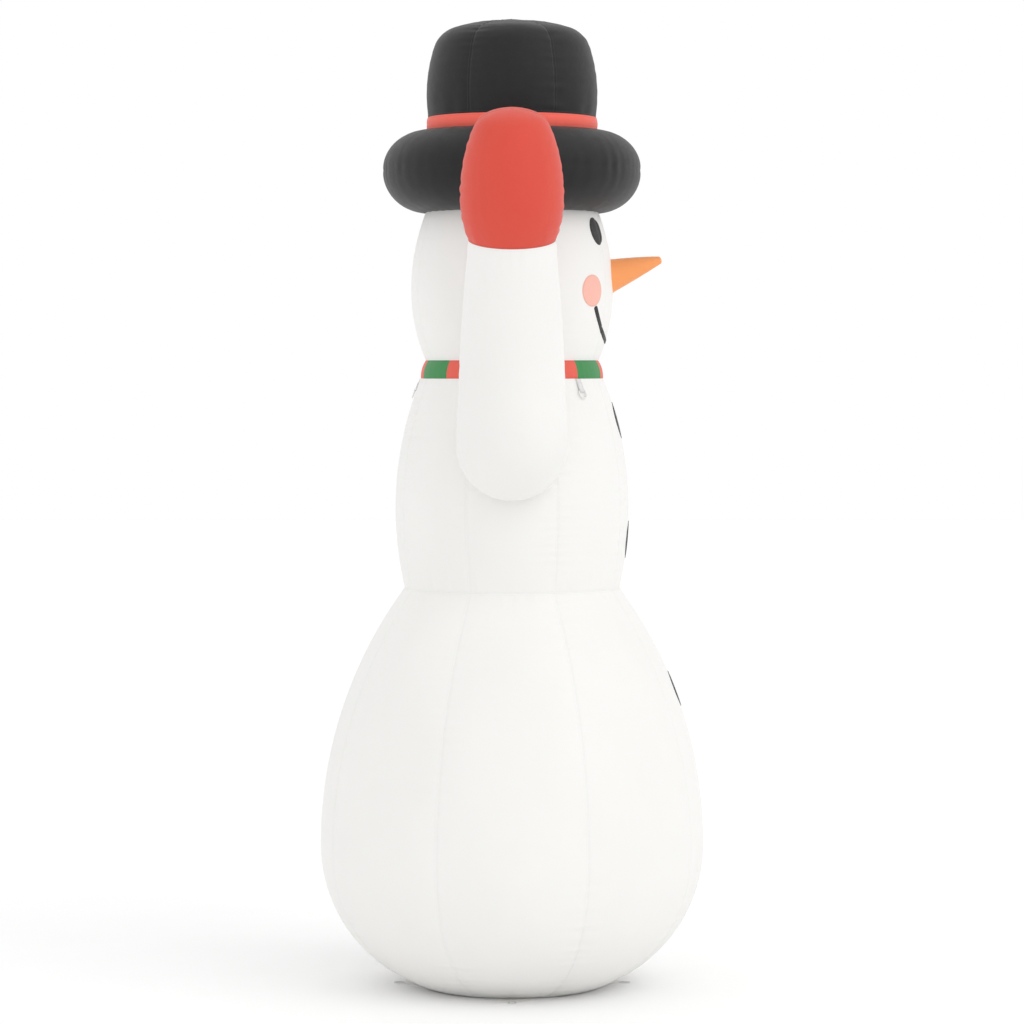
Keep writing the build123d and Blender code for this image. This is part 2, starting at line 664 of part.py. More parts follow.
for name, turn in zip(TETHER_NAMES, TETHER_ANGLES):
    place = cloth_plane(TORSO, TETHER_HEIGHT, FRONT + turn, RING_LIFT)
    wide, deep = RING_SIZE
    side, flat = wide / 2, wide / 2 - RING_CORNER
    turn_in = RING_CORNER * (1 - math.sqrt(0.5))
    with BuildLine(place) as d_shape:
        Line((-flat, 0), (flat, 0))
        ThreePointArc((flat, 0), (side - turn_in, -turn_in), (side, -RING_CORNER))
        Line((side, -RING_CORNER), (side, side - deep))
        ThreePointArc((side, side - deep), (0, -deep), (-side, side - deep))
        Line((-side, side - deep), (-side, -RING_CORNER))
        ThreePointArc((-side, -RING_CORNER), (turn_in - side, -turn_in), (-flat, 0))
    with BuildPart() as ring:
        with BuildSketch(Plane(d_shape.line @ 0, x_dir=place.y_dir, z_dir=place.x_dir)):
            Circle(RING_WIRE)
        sweep(path=d_shape.line)
    save(ring.part, f"tether_ring_{name}")
    print("ring", name, place.origin, "axis", -place.x_dir, "solids", len(ring.part.solids()))

# ---------------------------------------------------------------- blower
front_face = FLANGE
grille_face = FLANGE + GRILLE


def skin_ring(outer, inner, low, high, name, holes):
    """A ring round the blower that follows the cloth between two offsets from it."""
    with BuildPart() as piece:
        revolve(layer(BELLY, low, high), axis=Axis.Z)
        with Locations(blower.location):
            Cylinder(outer, 120, mode=Mode.INTERSECT)
            Cylinder(inner, 120, mode=Mode.SUBTRACT)
            with PolarLocations(SCREW_CIRCLE, SCREW_COUNT, start_angle=60):
                Cylinder(holes, 120, mode=Mode.SUBTRACT)
            with Locations((0, -SCREW_CIRCLE)):
                Cylinder(SOCKET_RADIUS + 0.2, 120, mode=Mode.SUBTRACT)
    save(piece.part, name)


clear_hole = SCREW_RADIUS + 0.2
skin_ring(FLANGE_RADIUS - 3, DUCT_RADIUS + 2, CLOTH_GAP, CLOTH_GAP + GASKET, "blower_gasket", clear_hole)
clamp_top = -WALL - CLOTH_GAP
skin_ring(FLANGE_RADIUS - 4, DUCT_RADIUS + 2, clamp_top - CLAMP, clamp_top, "blower_clamp", clear_hole)

with BuildPart() as blower_flange:
    with BuildSketch(blower.offset(-30)):
        Circle(FLANGE_RADIUS)
        Circle(DUCT_RADIUS + 0.2, mode=Mode.SUBTRACT)
        with PolarLocations(SCREW_CIRCLE, SCREW_COUNT, start_angle=60):
            Circle(clear_hole, mode=Mode.SUBTRACT)
        with Locations((0, -SCREW_CIRCLE)):
            Circle(SOCKET_RADIUS + 0.2, mode=Mode.SUBTRACT)
    extrude(amount=30 + FLANGE)
    rim = blower_flange.edges().filter_by(GeomType.CIRCLE).filter_by(lambda e: e.radius > FLANGE_RADIUS - 1)
    fillet(rim.sort_by_distance(blower.offset(FLANGE).origin)[0], 3)
    revolve(filled(BELLY, CLOTH_GAP + GASKET + CLOTH_GAP), axis=Axis.Z, mode=Mode.SUBTRACT)
save(blower_flange.part, "blower_flange")


def guard(plane, outer, rim_width, thickness, pitch, spokes):
    """A round guard: a rim, round bars a pitch apart and straight spokes."""
    with BuildPart() as piece:
        with BuildSketch(plane):
            Circle(outer)
            Circle(outer - rim_width, mode=Mode.SUBTRACT)
            count = int((outer - rim_width) // pitch)
            for step in range(1, count):
                Circle(step * pitch + GRILLE_BAR / 2)
                Circle(step * pitch - GRILLE_BAR / 2, mode=Mode.SUBTRACT)
            Circle(pitch)
            with PolarLocations((outer - rim_width / 2 + pitch / 2) / 2, spokes):
                Rectangle(outer - rim_width / 2 - pitch / 2, GRILLE_BAR + 1)
        extrude(amount=thickness)
    return piece.part


with BuildPart() as intake_grille:
    add(guard(blower.offset(FLANGE), GRILLE_RADIUS, GRILLE_RADIUS - DUCT_RADIUS + 8, GRILLE, 10, 6))
    with Locations(blower.location):
        with PolarLocations(SCREW_CIRCLE, SCREW_COUNT, start_angle=60):
            Cylinder(clear_hole, 120, mode=Mode.SUBTRACT)
        with Locations((0, -SCREW_CIRCLE)):
            Cylinder(SOCKET_RADIUS + 0.2, 120, mode=Mode.SUBTRACT)
save(intake_grille.part, "intake_grille")

with BuildPart() as blower_screws:
    with BuildSketch(blower.offset(-28)):
        with PolarLocations(SCREW_CIRCLE, SCREW_COUNT, start_angle=60):
            Circle(SCREW_RADIUS)
    extrude(amount=28 + grille_face)
    with BuildSketch(blower.offset(grille_face)):
        with PolarLocations(SCREW_CIRCLE, SCREW_COUNT, start_angle=60):
            Circle(SCREW_HEAD)
    extrude(amount=2.8)
    heads = blower_screws.faces().filter_by(Plane(blower.origin, z_dir=blower.z_dir)).group_by(
        lambda f: round((f.center() - blower.origin).dot(blower.z_dir), 2)
    )[-1]
    fillet(heads.edges(), 1.2)
    with BuildSketch(blower.offset(grille_face + 2.8)):
        with PolarLocations(SCREW_CIRCLE, SCREW_COUNT, start_angle=60):
            Rectangle(4.4, 1.0)
            Rectangle(1.0, 4.4)
    extrude(amount=-1.4, mode=Mode.SUBTRACT)
save(blower_screws.part, "blower_screws")

duct_back = front_face - 2 - DUCT_LENGTH
with BuildPart() as blower_duct:
    with BuildSketch(blower.offset(duct_back)):
        Circle(DUCT_RADIUS)
        Circle(DUCT_RADIUS - DUCT_WALL, mode=Mode.SUBTRACT)
    extrude(amount=DUCT_LENGTH + 2)
save(blower_duct.part, "blower_duct")

save(guard(blower.offset(duct_back - GRILLE), DUCT_RADIUS, DUCT_WALL + 2, GRILLE, 14, 4), "outlet_guard")

hub_top, hub_length = -8.0, 30.0
motor_top = hub_top - hub_length - 3
fan_radius = DUCT_RADIUS - DUCT_WALL - TIP_GAP
with BuildPart() as motor_mount:
    with BuildSketch(blower.offset(motor_top - MOTOR_LENGTH / 2)):
        Circle(DUCT_RADIUS - DUCT_WALL - CLOTH_GAP)
        Circle(DUCT_RADIUS - DUCT_WALL - 3, mode=Mode.SUBTRACT)
        Circle(MOTOR_RADIUS + 4)
        with PolarLocations((DUCT_RADIUS - DUCT_WALL + MOTOR_RADIUS) / 2, 3, start_angle=90):
            Rectangle(DUCT_RADIUS - DUCT_WALL - 2 - MOTOR_RADIUS, 5)
        Circle(MOTOR_RADIUS, mode=Mode.SUBTRACT)
    extrude(amount=12, both=True)
save(motor_mount.part, "motor_mount")

with BuildPart() as blower_motor:
    with BuildSketch(blower.offset(motor_top)):
        Circle(MOTOR_RADIUS)
    extrude(amount=-MOTOR_LENGTH)
    fillet(blower_motor.edges().filter_by(GeomType.CIRCLE), 2.5)
    with BuildSketch(blower.offset(motor_top)):
        Circle(SHAFT_RADIUS + HINGE_PLAY)
    extrude(amount=-MOTOR_LENGTH + 4, mode=Mode.SUBTRACT)
save(blower_motor.part, "blower_motor")

with BuildPart() as motor_shaft:
    with BuildSketch(blower.offset(hub_top - 4)):
        Circle(SHAFT_RADIUS)
    extrude(amount=-(hub_length + 3 + MOTOR_LENGTH - 12))
save(motor_shaft.part, "motor_shaft")

fan_plane = blower.offset(hub_top - hub_length / 2)
with BuildPart() as fan_blade:
    stations = (HUB_RADIUS - 3, (HUB_RADIUS + fan_radius) / 2, fan_radius)
    for step, distance in enumerate(stations):
        pitch = BLADE_PITCH[0] + (BLADE_PITCH[1] - BLADE_PITCH[0]) * step / 2
        origin = fan_plane.origin + fan_plane.x_dir * distance
        turned = Plane(origin, x_dir=fan_plane.y_dir, z_dir=fan_plane.x_dir).rotated((0, 0, pitch))
        with BuildSketch(turned):
            RectangleRounded(BLADE_CHORD, BLADE, BLADE * 0.45)
    loft()
with BuildPart() as blower_fan:
    with BuildSketch(blower.offset(hub_top)):
        Circle(HUB_RADIUS)
    extrude(amount=-hub_length)
    rim = blower_fan.edges().filter_by(GeomType.CIRCLE).sort_by_distance(blower.offset(hub_top).origin)[0]
    fillet(rim, 4)
    with Locations(fan_plane.location):
        with PolarLocations(0, BLADES):
            add(fan_blade.part.moved(fan_plane.location.inverse()))
    with BuildSketch(blower.offset(hub_top - 4)):
        Circle(SHAFT_RADIUS)
    extrude(amount=-hub_length, mode=Mode.SUBTRACT)
save(blower_fan.part, "blower_fan")
print("fan solids", len(blower_fan.part.solids()), "centre", fan_plane.origin)

with BuildPart() as power_socket:
    with BuildSketch(blower.offset(-38)):
        with Locations((0, -SCREW_CIRCLE)):
            Circle(SOCKET_RADIUS)
    extrude(amount=38 + grille_face)
    with BuildSketch(blower.offset(grille_face)):
        with Locations((0, -SCREW_CIRCLE)):
            Circle(SOCKET_RADIUS + 2)
    extrude(amount=1.6)
    with BuildSketch(blower.offset(grille_face + 1.6)):
        with Locations((0, -SCREW_CIRCLE)):
            Circle(2.8)
            Circle(1.05, mode=Mode.SUBTRACT)
    extrude(amount=-11, mode=Mode.SUBTRACT)
save(power_socket.part, "power_socket")

# ---------------------------------------------------------------- zip
tape_top = CLOTH_GAP + ZIP_TAPE_THICKNESS
tape_middle = CLOTH_GAP + ZIP_TAPE_THICKNESS / 2
tooth_low, tooth_high = tape_middle - ZIP_TOOTH_DEPTH, tape_middle + ZIP_TOOTH_DEPTH
with BuildPart() as zip_tape:
    along_zip(zip_boxes(ZIP_TAPE, CLOTH_GAP, tape_top), 0, ZIP_LENGTH)
save(zip_tape.part, "zip_tape")

with BuildPart() as zip_teeth:
    along_zip(zip_boxes(ZIP_TEETH, tooth_low, tooth_high), ZIP_STOP, ZIP_LENGTH - 2 * ZIP_STOP)
save(zip_teeth.part, "zip_teeth")

with BuildPart() as zip_stops:
    for start in (0.0, ZIP_LENGTH - ZIP_STOP):
        along_zip(zip_boxes((-ZIP_TEETH[1], ZIP_TEETH[1]), tooth_low, tooth_high, False), start, ZIP_STOP)
save(zip_stops.part, "zip_stops")

slider_low = ZIP_STOP + 2
plate_under = tooth_low - SLIDER_PLAY
plate_over = tooth_high + SLIDER_PLAY
slider_top = plate_over + SLIDER_PLATE
half = (-SLIDER_HALF, SLIDER_HALF)
bridge = ZIP_TEETH[0] - 0.3
along = math.degrees(1 / BELLY.above)
bar_start = math.asin((ZIP_LOW - BELLY.height) / BELLY.above)
bar_height = BELLY.height + BELLY.above * math.sin(bar_start + (slider_low + SLIDER_LENGTH / 2) / BELLY.above)
bar = cloth_plane(BELLY, bar_height, SERVICE_ANGLE, slider_top + BAIL_LIFT)
with BuildPart() as zip_slider:
    along_zip(zip_boxes(half, plate_under - SLIDER_PLATE, plate_under, False), slider_low, SLIDER_LENGTH)
    along_zip(zip_boxes(half, plate_over, slider_top, False), slider_low, SLIDER_LENGTH)
    along_zip(zip_boxes((-bridge, bridge), plate_under - 1, plate_over + 1, False), slider_low, SLIDER_LENGTH)
    with BuildSketch(Plane(bar.origin, x_dir=bar.y_dir, z_dir=bar.x_dir).offset(5.2)):
        with BuildLine():
            foot = -BAIL_LIFT - 0.5
            Polyline((6, foot), (2.6, 0.6), (-2.6, 0.6), (-6, foot), close=True)
        make_face()
    extrude(amount=2)
    mirror(about=Plane(bar.origin, z_dir=bar.x_dir))
    with BuildSketch(Plane(bar.origin, x_dir=bar.y_dir, z_dir=bar.x_dir)):
        Circle(BAIL_RADIUS)
    extrude(amount=6, both=True)
save(zip_slider.part, "zip_slider")

with BuildPart() as zip_pull:
    with BuildSketch(Plane(bar.origin, x_dir=bar.y_dir, z_dir=bar.x_dir)):
        Circle(BAIL_RADIUS + HINGE_PLAY + 1.2)
        with Locations((-7, 0)):
            Rectangle(14, PULL)
        Circle(BAIL_RADIUS + HINGE_PLAY, mode=Mode.SUBTRACT)
    extrude(amount=4.6, both=True)
    with BuildSketch(bar):
        with Locations((0, -12 - (PULL_LENGTH - 12) / 2)):
            RectangleRounded(PULL_WIDTH, PULL_LENGTH - 12, 4)
        with Locations((0, -PULL_LENGTH + 8)):
            Circle(3, mode=Mode.SUBTRACT)
    extrude(amount=PULL / 2, both=True)
save(zip_pull.part, "zip_pull")
print("zip slider travel", (ZIP_LENGTH - 2 * slider_low - SLIDER_LENGTH) * along, "deg")
print("zip pull hinge", bar.origin, "axis", -bar.x_dir, "solids", len(zip_pull.part.solids()))


# ---------------------------------------------------------------- lamps inside
def inside(bulge, height, gap):
    """A point in the upright plane through the service side, a gap in from a bulge's outer face."""
    return service.from_local_coords((radius_at(bulge, height) - gap, height, 0))


lead_start = blower.from_local_coords((0, DUCT_RADIUS + LEAD_RADIUS, -60))
lead_run = [
    lead_start,
    inside(BELLY, 800, 61),
    inside(BELLY, 1500, 34),
    inside(TORSO, TORSO.height, 27),
    inside(SCARF, 2375, 33),
    inside(HEAD, HEAD.height, 41),
    inside(HEAD, 2900, 102),
]


def lead_at(height):
    """Distance of the lead's straight runs from the snowman's axis at a height."""
    for low, high in zip(lead_run[1:], lead_run[2:]):
        if low.Z <= height <= high.Z:
            share = (height - low.Z) / (high.Z - low.Z)
            return math.hypot(low.X + (high.X - low.X) * share, low.Y + (high.Y - low.Y) * share)


def lead(radius):
    """The lamp lead, or a fatter one to cut clearance with."""
    with BuildLine() as path:
        FilletPolyline(*lead_run, radius=LEAD_BEND)
    with BuildPart() as piece:
        with BuildSketch(Plane(path.line @ 0, z_dir=path.line % 0)):
            Circle(radius)
        sweep(path=path.line)
    return piece.part


save(lead(LEAD_RADIUS), "lamp_lead")
print("lamp lead bends at", LEAD_BEND, "mm, radius", LEAD_RADIUS, "runs", len(lead_run) - 1)

lamp_points = [(a + b) / 2 for a, b in (lead_run[1:3], lead_run[2:4], lead_run[4:6])]
for name, radius, start, length in (
    ("lamp_holders", LAMP_RADIUS, 0.0, LAMP_HOLDER),
    ("lamp_bulbs", LAMP_RADIUS - 1.5, LAMP_HOLDER, LAMP_BULB),
):
    with BuildPart() as lamps:
        for point in lamp_points:
            centre = Vector(0, 0, point.Z)
            inwards = (centre - point).normalized()
            touch = point + inwards * (LEAD_RADIUS + 4 + start)
            with BuildSketch(Plane(touch, z_dir=inwards)):
                Circle(radius)
            extrude(amount=length)
    save(lamps.part, name)

tie_points = ((BELLY, 800), (BELLY, 1404), (TORSO, 1670), (SCARF, 2375), (HEAD, 2552))
with BuildPart() as lead_ties:
    for bulge, height in tie_points:
        distance = lead_at(height)
        wall = radius_at(bulge, height, -WALL) - CLOTH_GAP - 4
        with BuildSketch(service.offset(-TIE_THICKNESS / 2)):
            with Locations(((distance + wall) / 2, height)):
                Rectangle(wall - distance, TIE_WIDTH)
        extrude(amount=TIE_THICKNESS)
    add(lead(LEAD_RADIUS + CLOTH_GAP), mode=Mode.SUBTRACT)
save(lead_ties.part, "lead_ties")
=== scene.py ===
# %% [markdown]
# # An inflatable yard snowman
#
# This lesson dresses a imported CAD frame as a 3.7 m snowman of sewn polyester that a small blower keeps
# full of air. The frame holds the true sizes and the moving parts. Blender adds the cloth: gores that
# bulge between their seams, puckers where thread pulls the cloth in, sewn-on patches and stitching.
#
# The snowman faces -Y, its right hand is on -X, and 1 unit is 1 metre.

# %% Tools
import math

import bmesh
import bpy
import numpy as np
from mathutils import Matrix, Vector


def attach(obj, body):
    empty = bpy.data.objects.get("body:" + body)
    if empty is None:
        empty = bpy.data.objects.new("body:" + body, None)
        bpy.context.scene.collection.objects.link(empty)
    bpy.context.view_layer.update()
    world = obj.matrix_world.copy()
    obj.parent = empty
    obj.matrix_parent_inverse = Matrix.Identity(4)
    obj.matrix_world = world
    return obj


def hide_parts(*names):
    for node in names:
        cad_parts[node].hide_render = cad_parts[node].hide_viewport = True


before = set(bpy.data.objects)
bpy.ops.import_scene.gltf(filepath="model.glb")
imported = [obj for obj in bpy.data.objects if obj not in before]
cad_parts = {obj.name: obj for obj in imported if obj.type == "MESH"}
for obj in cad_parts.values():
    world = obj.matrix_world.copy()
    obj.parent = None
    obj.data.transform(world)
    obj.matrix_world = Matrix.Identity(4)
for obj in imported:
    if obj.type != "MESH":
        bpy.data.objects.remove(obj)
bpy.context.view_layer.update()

# %% [markdown]
# ## Camera
#
# A tall object keeps its proportions when the camera stands well back with a long lens. Here it stands
# 13.4 m to the snowman's right, at the height of its neck, and tips down a little.

# %% Camera
CAMERA_DISTANCE = 13.42
CAMERA_HEIGHT = 2.381
CAMERA_TIP = math.radians(2.4)

camera_data = bpy.data.cameras.new("camera")
camera_data.lens = 123.0
camera_data.sensor_width = 36.0
camera = bpy.data.objects.new("camera", camera_data)
camera.location = (-CAMERA_DISTANCE, 0, CAMERA_HEIGHT)
looking = Vector((math.cos(CAMERA_TIP), 0, -math.sin(CAMERA_TIP)))
camera.rotation_euler = looking.to_track_quat("-Z", "Y").to_euler()
bpy.context.collection.objects.link(camera)
bpy.context.scene.camera = camera
print("camera", tuple(round(v, 2) for v in camera.location), "lens", camera_data.lens)

# %% [markdown]
# ## Materials as arithmetic
#
# Shader nodes are easier to read as sums. `Field` wraps one output socket, and its operators add the
# Math nodes: `weave * 0.3 + 0.5` makes two. `Paint` starts a material and has one method, `node`, for
# every other kind of node.


# %% Field and Paint
class Field:
    """One output socket of a material, with arithmetic."""

    def __init__(self, paint, socket):
        self.paint, self.socket = paint, socket

    def math(self, operation, *others):
        return self.paint.node("ShaderNodeMath", 0, {"operation": operation}, self, *others)

    def __add__(self, other):
        return self.math("ADD", other)

    def __sub__(self, other):
        return self.math("SUBTRACT", other)

    def __mul__(self, other):
        return self.math("MULTIPLY", other)

    def __truediv__(self, other):
        return self.math("DIVIDE", other)

    def __rsub__(self, other):
        return (self * -1.0) + other

    def __neg__(self):
        return self * -1.0

    def __abs__(self):
        return self.math("ABSOLUTE")

    def __gt__(self, other):
        return self.math("GREATER_THAN", other)

    def __lt__(self, other):
        return self.math("LESS_THAN", other)

    __radd__ = __add__
    __rmul__ = __mul__

    def fraction(self):
        return self.math("FRACT")

    def sine(self):
        return self.math("SINE")

    def fade(self, start, end):
        """1 up to start, easing to 0 at end."""
        mapped = {"interpolation_type": "SMOOTHSTEP"}
        return self.paint.node("ShaderNodeMapRange", 0, mapped, self, start, end, 1.0, 0.0)


class Paint:
    """A material under construction."""

    def __init__(self, name):
        self.material = bpy.data.materials.new(name)
        self.material.use_nodes = True
        self.tree = self.material.node_tree
        self.shader = self.tree.nodes["Principled BSDF"]

    def node(self, kind, output, settings=None, *inputs, **named):
        """Adds a node, fills its inputs by order or by name, and returns one of its outputs."""
        node = self.tree.nodes.new(kind)
        for key, value in (settings or {}).items():
            setattr(node, key, value)
        for key, value in [*enumerate(inputs), *named.items()]:
            self.fill(node.inputs[key], value)
        return Field(self, node.outputs[output])

    def fill(self, socket, value):
        if isinstance(value, Field):
            self.tree.links.new(value.socket, socket)
        elif value is not None:
            socket.default_value = value

    def split(self, field):
        """The X, Y and Z of a vector."""
        parts = self.node("ShaderNodeSeparateXYZ", 0, None, field)
        return [Field(self, out) for out in parts.socket.node.outputs]

    def blend(self, factor, low, high):
        """A colour part of the way from low to high."""
        node = self.tree.nodes.new("ShaderNodeMix")
        node.data_type = "RGBA"
        for socket, value in ((node.inputs[0], factor), (node.inputs[6], low), (node.inputs[7], high)):
            self.fill(socket, value)
        return Field(self, node.outputs[2])

    def noise(self, where, scale, detail=3.0, rough=0.5):
        options = dict(Vector=where, Scale=scale, Detail=detail, Roughness=rough)
        return self.node("ShaderNodeTexNoise", 0, None, **options)

    def finish(self, **sockets):
        """Sets the shader's sockets; words joined by _ stand for the socket's name."""
        for key, value in sockets.items():
            self.fill(self.shader.inputs[key.replace("_", " ")], value)
        return self.material


def shade(colour, factor):
    """The same colour, lighter or darker."""
    return (*[min(1.0, part * factor) for part in colour[:3]], 1.0)


def linear(red, green, blue):
    """A screen colour, 0 to 255, as the linear light that shaders use."""
    parts = [part / 255 for part in (red, green, blue)]
    return (*[part / 12.92 if part < 0.04 else ((part + 0.055) / 1.055) ** 2.4 for part in parts], 1.0)


print("shader tools ready")

# %% [markdown]
# ## Polyester
#
# Outdoor inflatables are plain-woven polyester with a thin coating. The weave is half a millimetre, so
# it only shows as a faint tooth close up. What shows from afar is the shading of the puckers, a soft
# sheen, and the rows of stitches beside each seam.
#
# Every cloth mesh carries two maps. `Weave` runs in metres around and along the piece. `Sewing` holds
# the distance to the nearest seam and the distance along it, so stitches need no painting.


# %% Cloth material
def cloth(name, colour, thread=None, rough=0.62, relief=0.5, seam_shade_strength=0.3):
    paint = Paint(name)
    weave = paint.node("ShaderNodeUVMap", 0, {"uv_map": "Weave"})
    sewing = paint.node("ShaderNodeUVMap", 0, {"uv_map": "Sewing"})
    around, along, _ = paint.split(weave)
    away, run, _ = paint.split(sewing)
    body = paint.node("ShaderNodeTexCoord", "Object")

    warp = (around * (2 * math.pi / 0.0007)).sine()
    weft = (along * (2 * math.pi / 0.0007)).sine()
    tooth = warp * weft
    ripstop = ((around / 0.006).fraction() < 0.09).math("MAXIMUM", (along / 0.006).fraction() < 0.09)
    creases = paint.noise(body, 9.0, 5.0, 0.62)
    crumple = paint.noise(body, 55.0, 3.0, 0.6)

    stitch_row = abs(away - 0.006).fade(0.0006, 0.0016)
    stitch = stitch_row * ((run / 0.0045).fraction() < 0.68)
    # Painted shade: within 3.5 mm of a seam the colour is blended towards a darker copy of itself,
    # standing for the shade in the seam's crease.
    seam_shade_mask = away.fade(0.0, 0.0035)
    blotch = paint.noise(body, 2.3, 2.0)
    plain = paint.blend(blotch, shade(colour, 0.955), shade(colour, 1.03))
    worn = paint.blend(ripstop * 0.10, plain, shade(colour, 1.10))
    sewn = paint.blend(stitch * 0.8, worn, thread or shade(colour, 0.78))
    colour_out = paint.blend(seam_shade_mask * seam_shade_strength, sewn, shade(colour, 0.62))

    height = tooth * 0.00008 + ripstop * 0.00006 + creases * 0.0035 + crumple * 0.0004 + stitch * 0.0005
    bump = paint.node("ShaderNodeBump", 0, None, Strength=relief, Distance=1.0, Height=height)
    roughness = paint.noise(body, 30.0) * 0.16 + (rough - 0.08)
    paint.finish(Base_Color=colour_out, Roughness=roughness, Normal=bump)
    return paint.finish(Sheen_Weight=0.12, Sheen_Roughness=0.5, Specular_IOR_Level=0.35)


WHITE_COLOUR, WHITE_THREAD = (0.855, 0.848, 0.828, 1), (0.80, 0.80, 0.79, 1)
# The white cloth takes only a faint painted shade along its seams.
WHITE = cloth("white_polyester", WHITE_COLOUR, thread=WHITE_THREAD, relief=0.3, seam_shade_strength=0.04)
RED = cloth("red_polyester", linear(214, 74, 58))
# Painted light: the band is a lighter copy of the mittens' red, offsetting the shade it sits in between
# the brim and the crown.
BAND_RED_PAINTED_LIGHTER = cloth("red_hat_band_painted_lighter", linear(245, 104, 88))
SCARF_RED = cloth("red_scarf_polyester", linear(226, 96, 80))
GREEN = cloth("green_polyester", linear(58, 136, 76))
BLACK = cloth("black_polyester", linear(17, 17, 18), thread=linear(50, 50, 50), rough=0.58)
ORANGE = cloth("orange_polyester", linear(247, 160, 96))
PINK = cloth("pink_applique", linear(244, 184, 168))
BLACK_PATCH = cloth("black_applique", linear(26, 26, 26), thread=linear(58, 58, 58))
print("cloths ready")

# %% [markdown]
# ## The shape of a sewn balloon
#
# Each inflated piece is a tube: a centre line, a radius along it, and seams that run its length. Air
# pushes the cloth out between the seams, and the thread holds it in at them. `Balloon` adds up three
# effects: a soft valley at each seam, short puckers across it, and puckers that fan out from both ends.


# %% Balloon
def ripple(x, wavelength, random, lanes=4):
    """A wandering wave between about -1 and 1, never quite regular."""
    total = np.zeros_like(x)
    for _ in range(lanes):
        stretch, phase = random.uniform(0.7, 1.45), random.uniform(0, 2 * math.pi)
        total += np.sin(2 * math.pi * x / (wavelength * stretch) + phase)
    swell = 0.55 + 0.45 * np.sin(x / (wavelength * 3.7) + random.uniform(0, 6.28))
    return total / lanes * 1.5 * swell


def ring_ripple(turn, girth, wavelength, random, lanes=5):
    """The same, but it meets itself after a full turn."""
    total = np.zeros(np.broadcast(turn, girth).shape)
    base = 2 * math.pi * 0.5 * (np.max(girth) + np.min(girth)) / wavelength
    for _ in range(lanes):
        waves = max(5, round(base * random.uniform(0.7, 1.4)))
        total = total + np.sin(turn * waves + random.uniform(0, 2 * math.pi))
    swell = 0.6 + 0.4 * np.sin(turn * random.integers(2, 6) + random.uniform(0, 6.28))
    return total / lanes * 1.5 * swell


class Balloon:
    """An inflated tube of cloth with lengthwise seams."""

    def __init__(self, centres, radii, seams, out=(1, 0, 0), side=(0, 1, 0), seed=1, **sewing):
        self.centres = np.array(centres, float)
        self.radii = np.array(radii, float)
        outline = self.centres + 0.0
        steps = np.hypot(np.linalg.norm(np.diff(outline, axis=0), axis=1), np.diff(self.radii))
        self.along = np.concatenate([[0], np.cumsum(steps)])
        self.length = self.along[-1]
        self.seams = np.radians(seams)
        rows = len(self.radii)
        self.out = np.broadcast_to(np.array(out, float), (rows, 3))
        self.side = np.broadcast_to(np.array(side, float), (rows, 3))
        self.seed = seed
        self.valley = sewing.get("valley", 0.007)
        self.pucker = sewing.get("pucker", 0.0022)
        self.wave = sewing.get("wave", 0.042)
        self.ends = sewing.get("ends", (0.0028, 0.0028))
        self.extra = sewing.get("extra")
        self.calm = sewing.get("calm")

    def pick(self, values, s):
        values = np.array(values)
        if values.ndim == 1:
            return np.interp(s, self.along, values)
        return np.stack([np.interp(s, self.along, values[:, k]) for k in range(3)], -1)

    def smooth(self, s, turn):
        """Points on the shape before any sewing; s and turn have the same shape."""
        radius = self.pick(self.radii, s)[..., None]
        out, side = self.pick(self.out, s), self.pick(self.side, s)
        way = np.cos(turn)[..., None] * out + np.sin(turn)[..., None] * side
        return self.pick(self.centres, s) + radius * way

    def normal(self, s, turn):
        step = 1e-3
        above, below = np.minimum(s + step, self.length), np.maximum(s - step, 0)
        up = self.smooth(above, turn) - self.smooth(below, turn)
        round_ = self.smooth(s, turn + step) - self.smooth(s, turn - step)
        flat = np.linalg.norm(round_, axis=-1, keepdims=True) < 1e-9
        normal = np.cross(round_, up)
        length = np.linalg.norm(normal, axis=-1, keepdims=True)
        spare = self.pick(self.out, s)
        return np.where(flat | (length < 1e-12), spare, normal / np.maximum(length, 1e-12))

    def seam_gap(self, s, turn):
        """Distance to the nearest seam, and which seam it is."""
        radius = self.pick(self.radii, s)
        gaps = [np.abs((turn - seam + math.pi) % (2 * math.pi) - math.pi) * radius for seam in self.seams]
        if not gaps:
            return np.full(np.shape(s), 9.0), np.zeros(np.shape(s), int)
        gaps = np.stack(gaps)
        return gaps.min(0), gaps.argmin(0)

    def relief(self, s, turn):
        """How far sewing moves the cloth out of its smooth shape."""
        random = np.random.default_rng(self.seed)
        gap, which = self.seam_gap(s, turn)
        held = 1 - np.exp(-np.minimum(s, self.length - s) / 0.03)  # the end seams hold every panel level
        valley = -self.valley * held * np.exp(-gap / 0.05)
        shape = valley - 0.0012 * held * np.exp(-((gap / 0.005) ** 2))
        for number in range(len(self.seams)):
            waves = ripple(s, self.wave, random)
            shape = shape + np.where(which == number, self.pucker * waves * np.exp(-gap / 0.045), 0)
        radius = self.pick(self.radii, s)
        for end, size in zip((s, self.length - s), self.ends):
            if size:
                fan = ring_ripple(turn, radius, self.wave * 1.25, random)
                shape = shape + size * fan * (np.exp(-end / 0.055) - np.exp(-end / 0.008))
        if self.extra:
            shape = shape + self.extra(self.smooth(s, turn), random)
        return shape * self.calm(self.smooth(s, turn)) if self.calm else shape

    def points(self, s, turn, lift=0.0):
        return self.smooth(s, turn) + self.normal(s, turn) * (self.relief(s, turn) + lift)[..., None]


print("balloon shapes ready")

# %% [markdown]
# ## From numbers to meshes
#
# A grid of points becomes quads. Columns crowd together at the seams, because that is where the cloth
# turns sharply, and rows crowd at the ends.


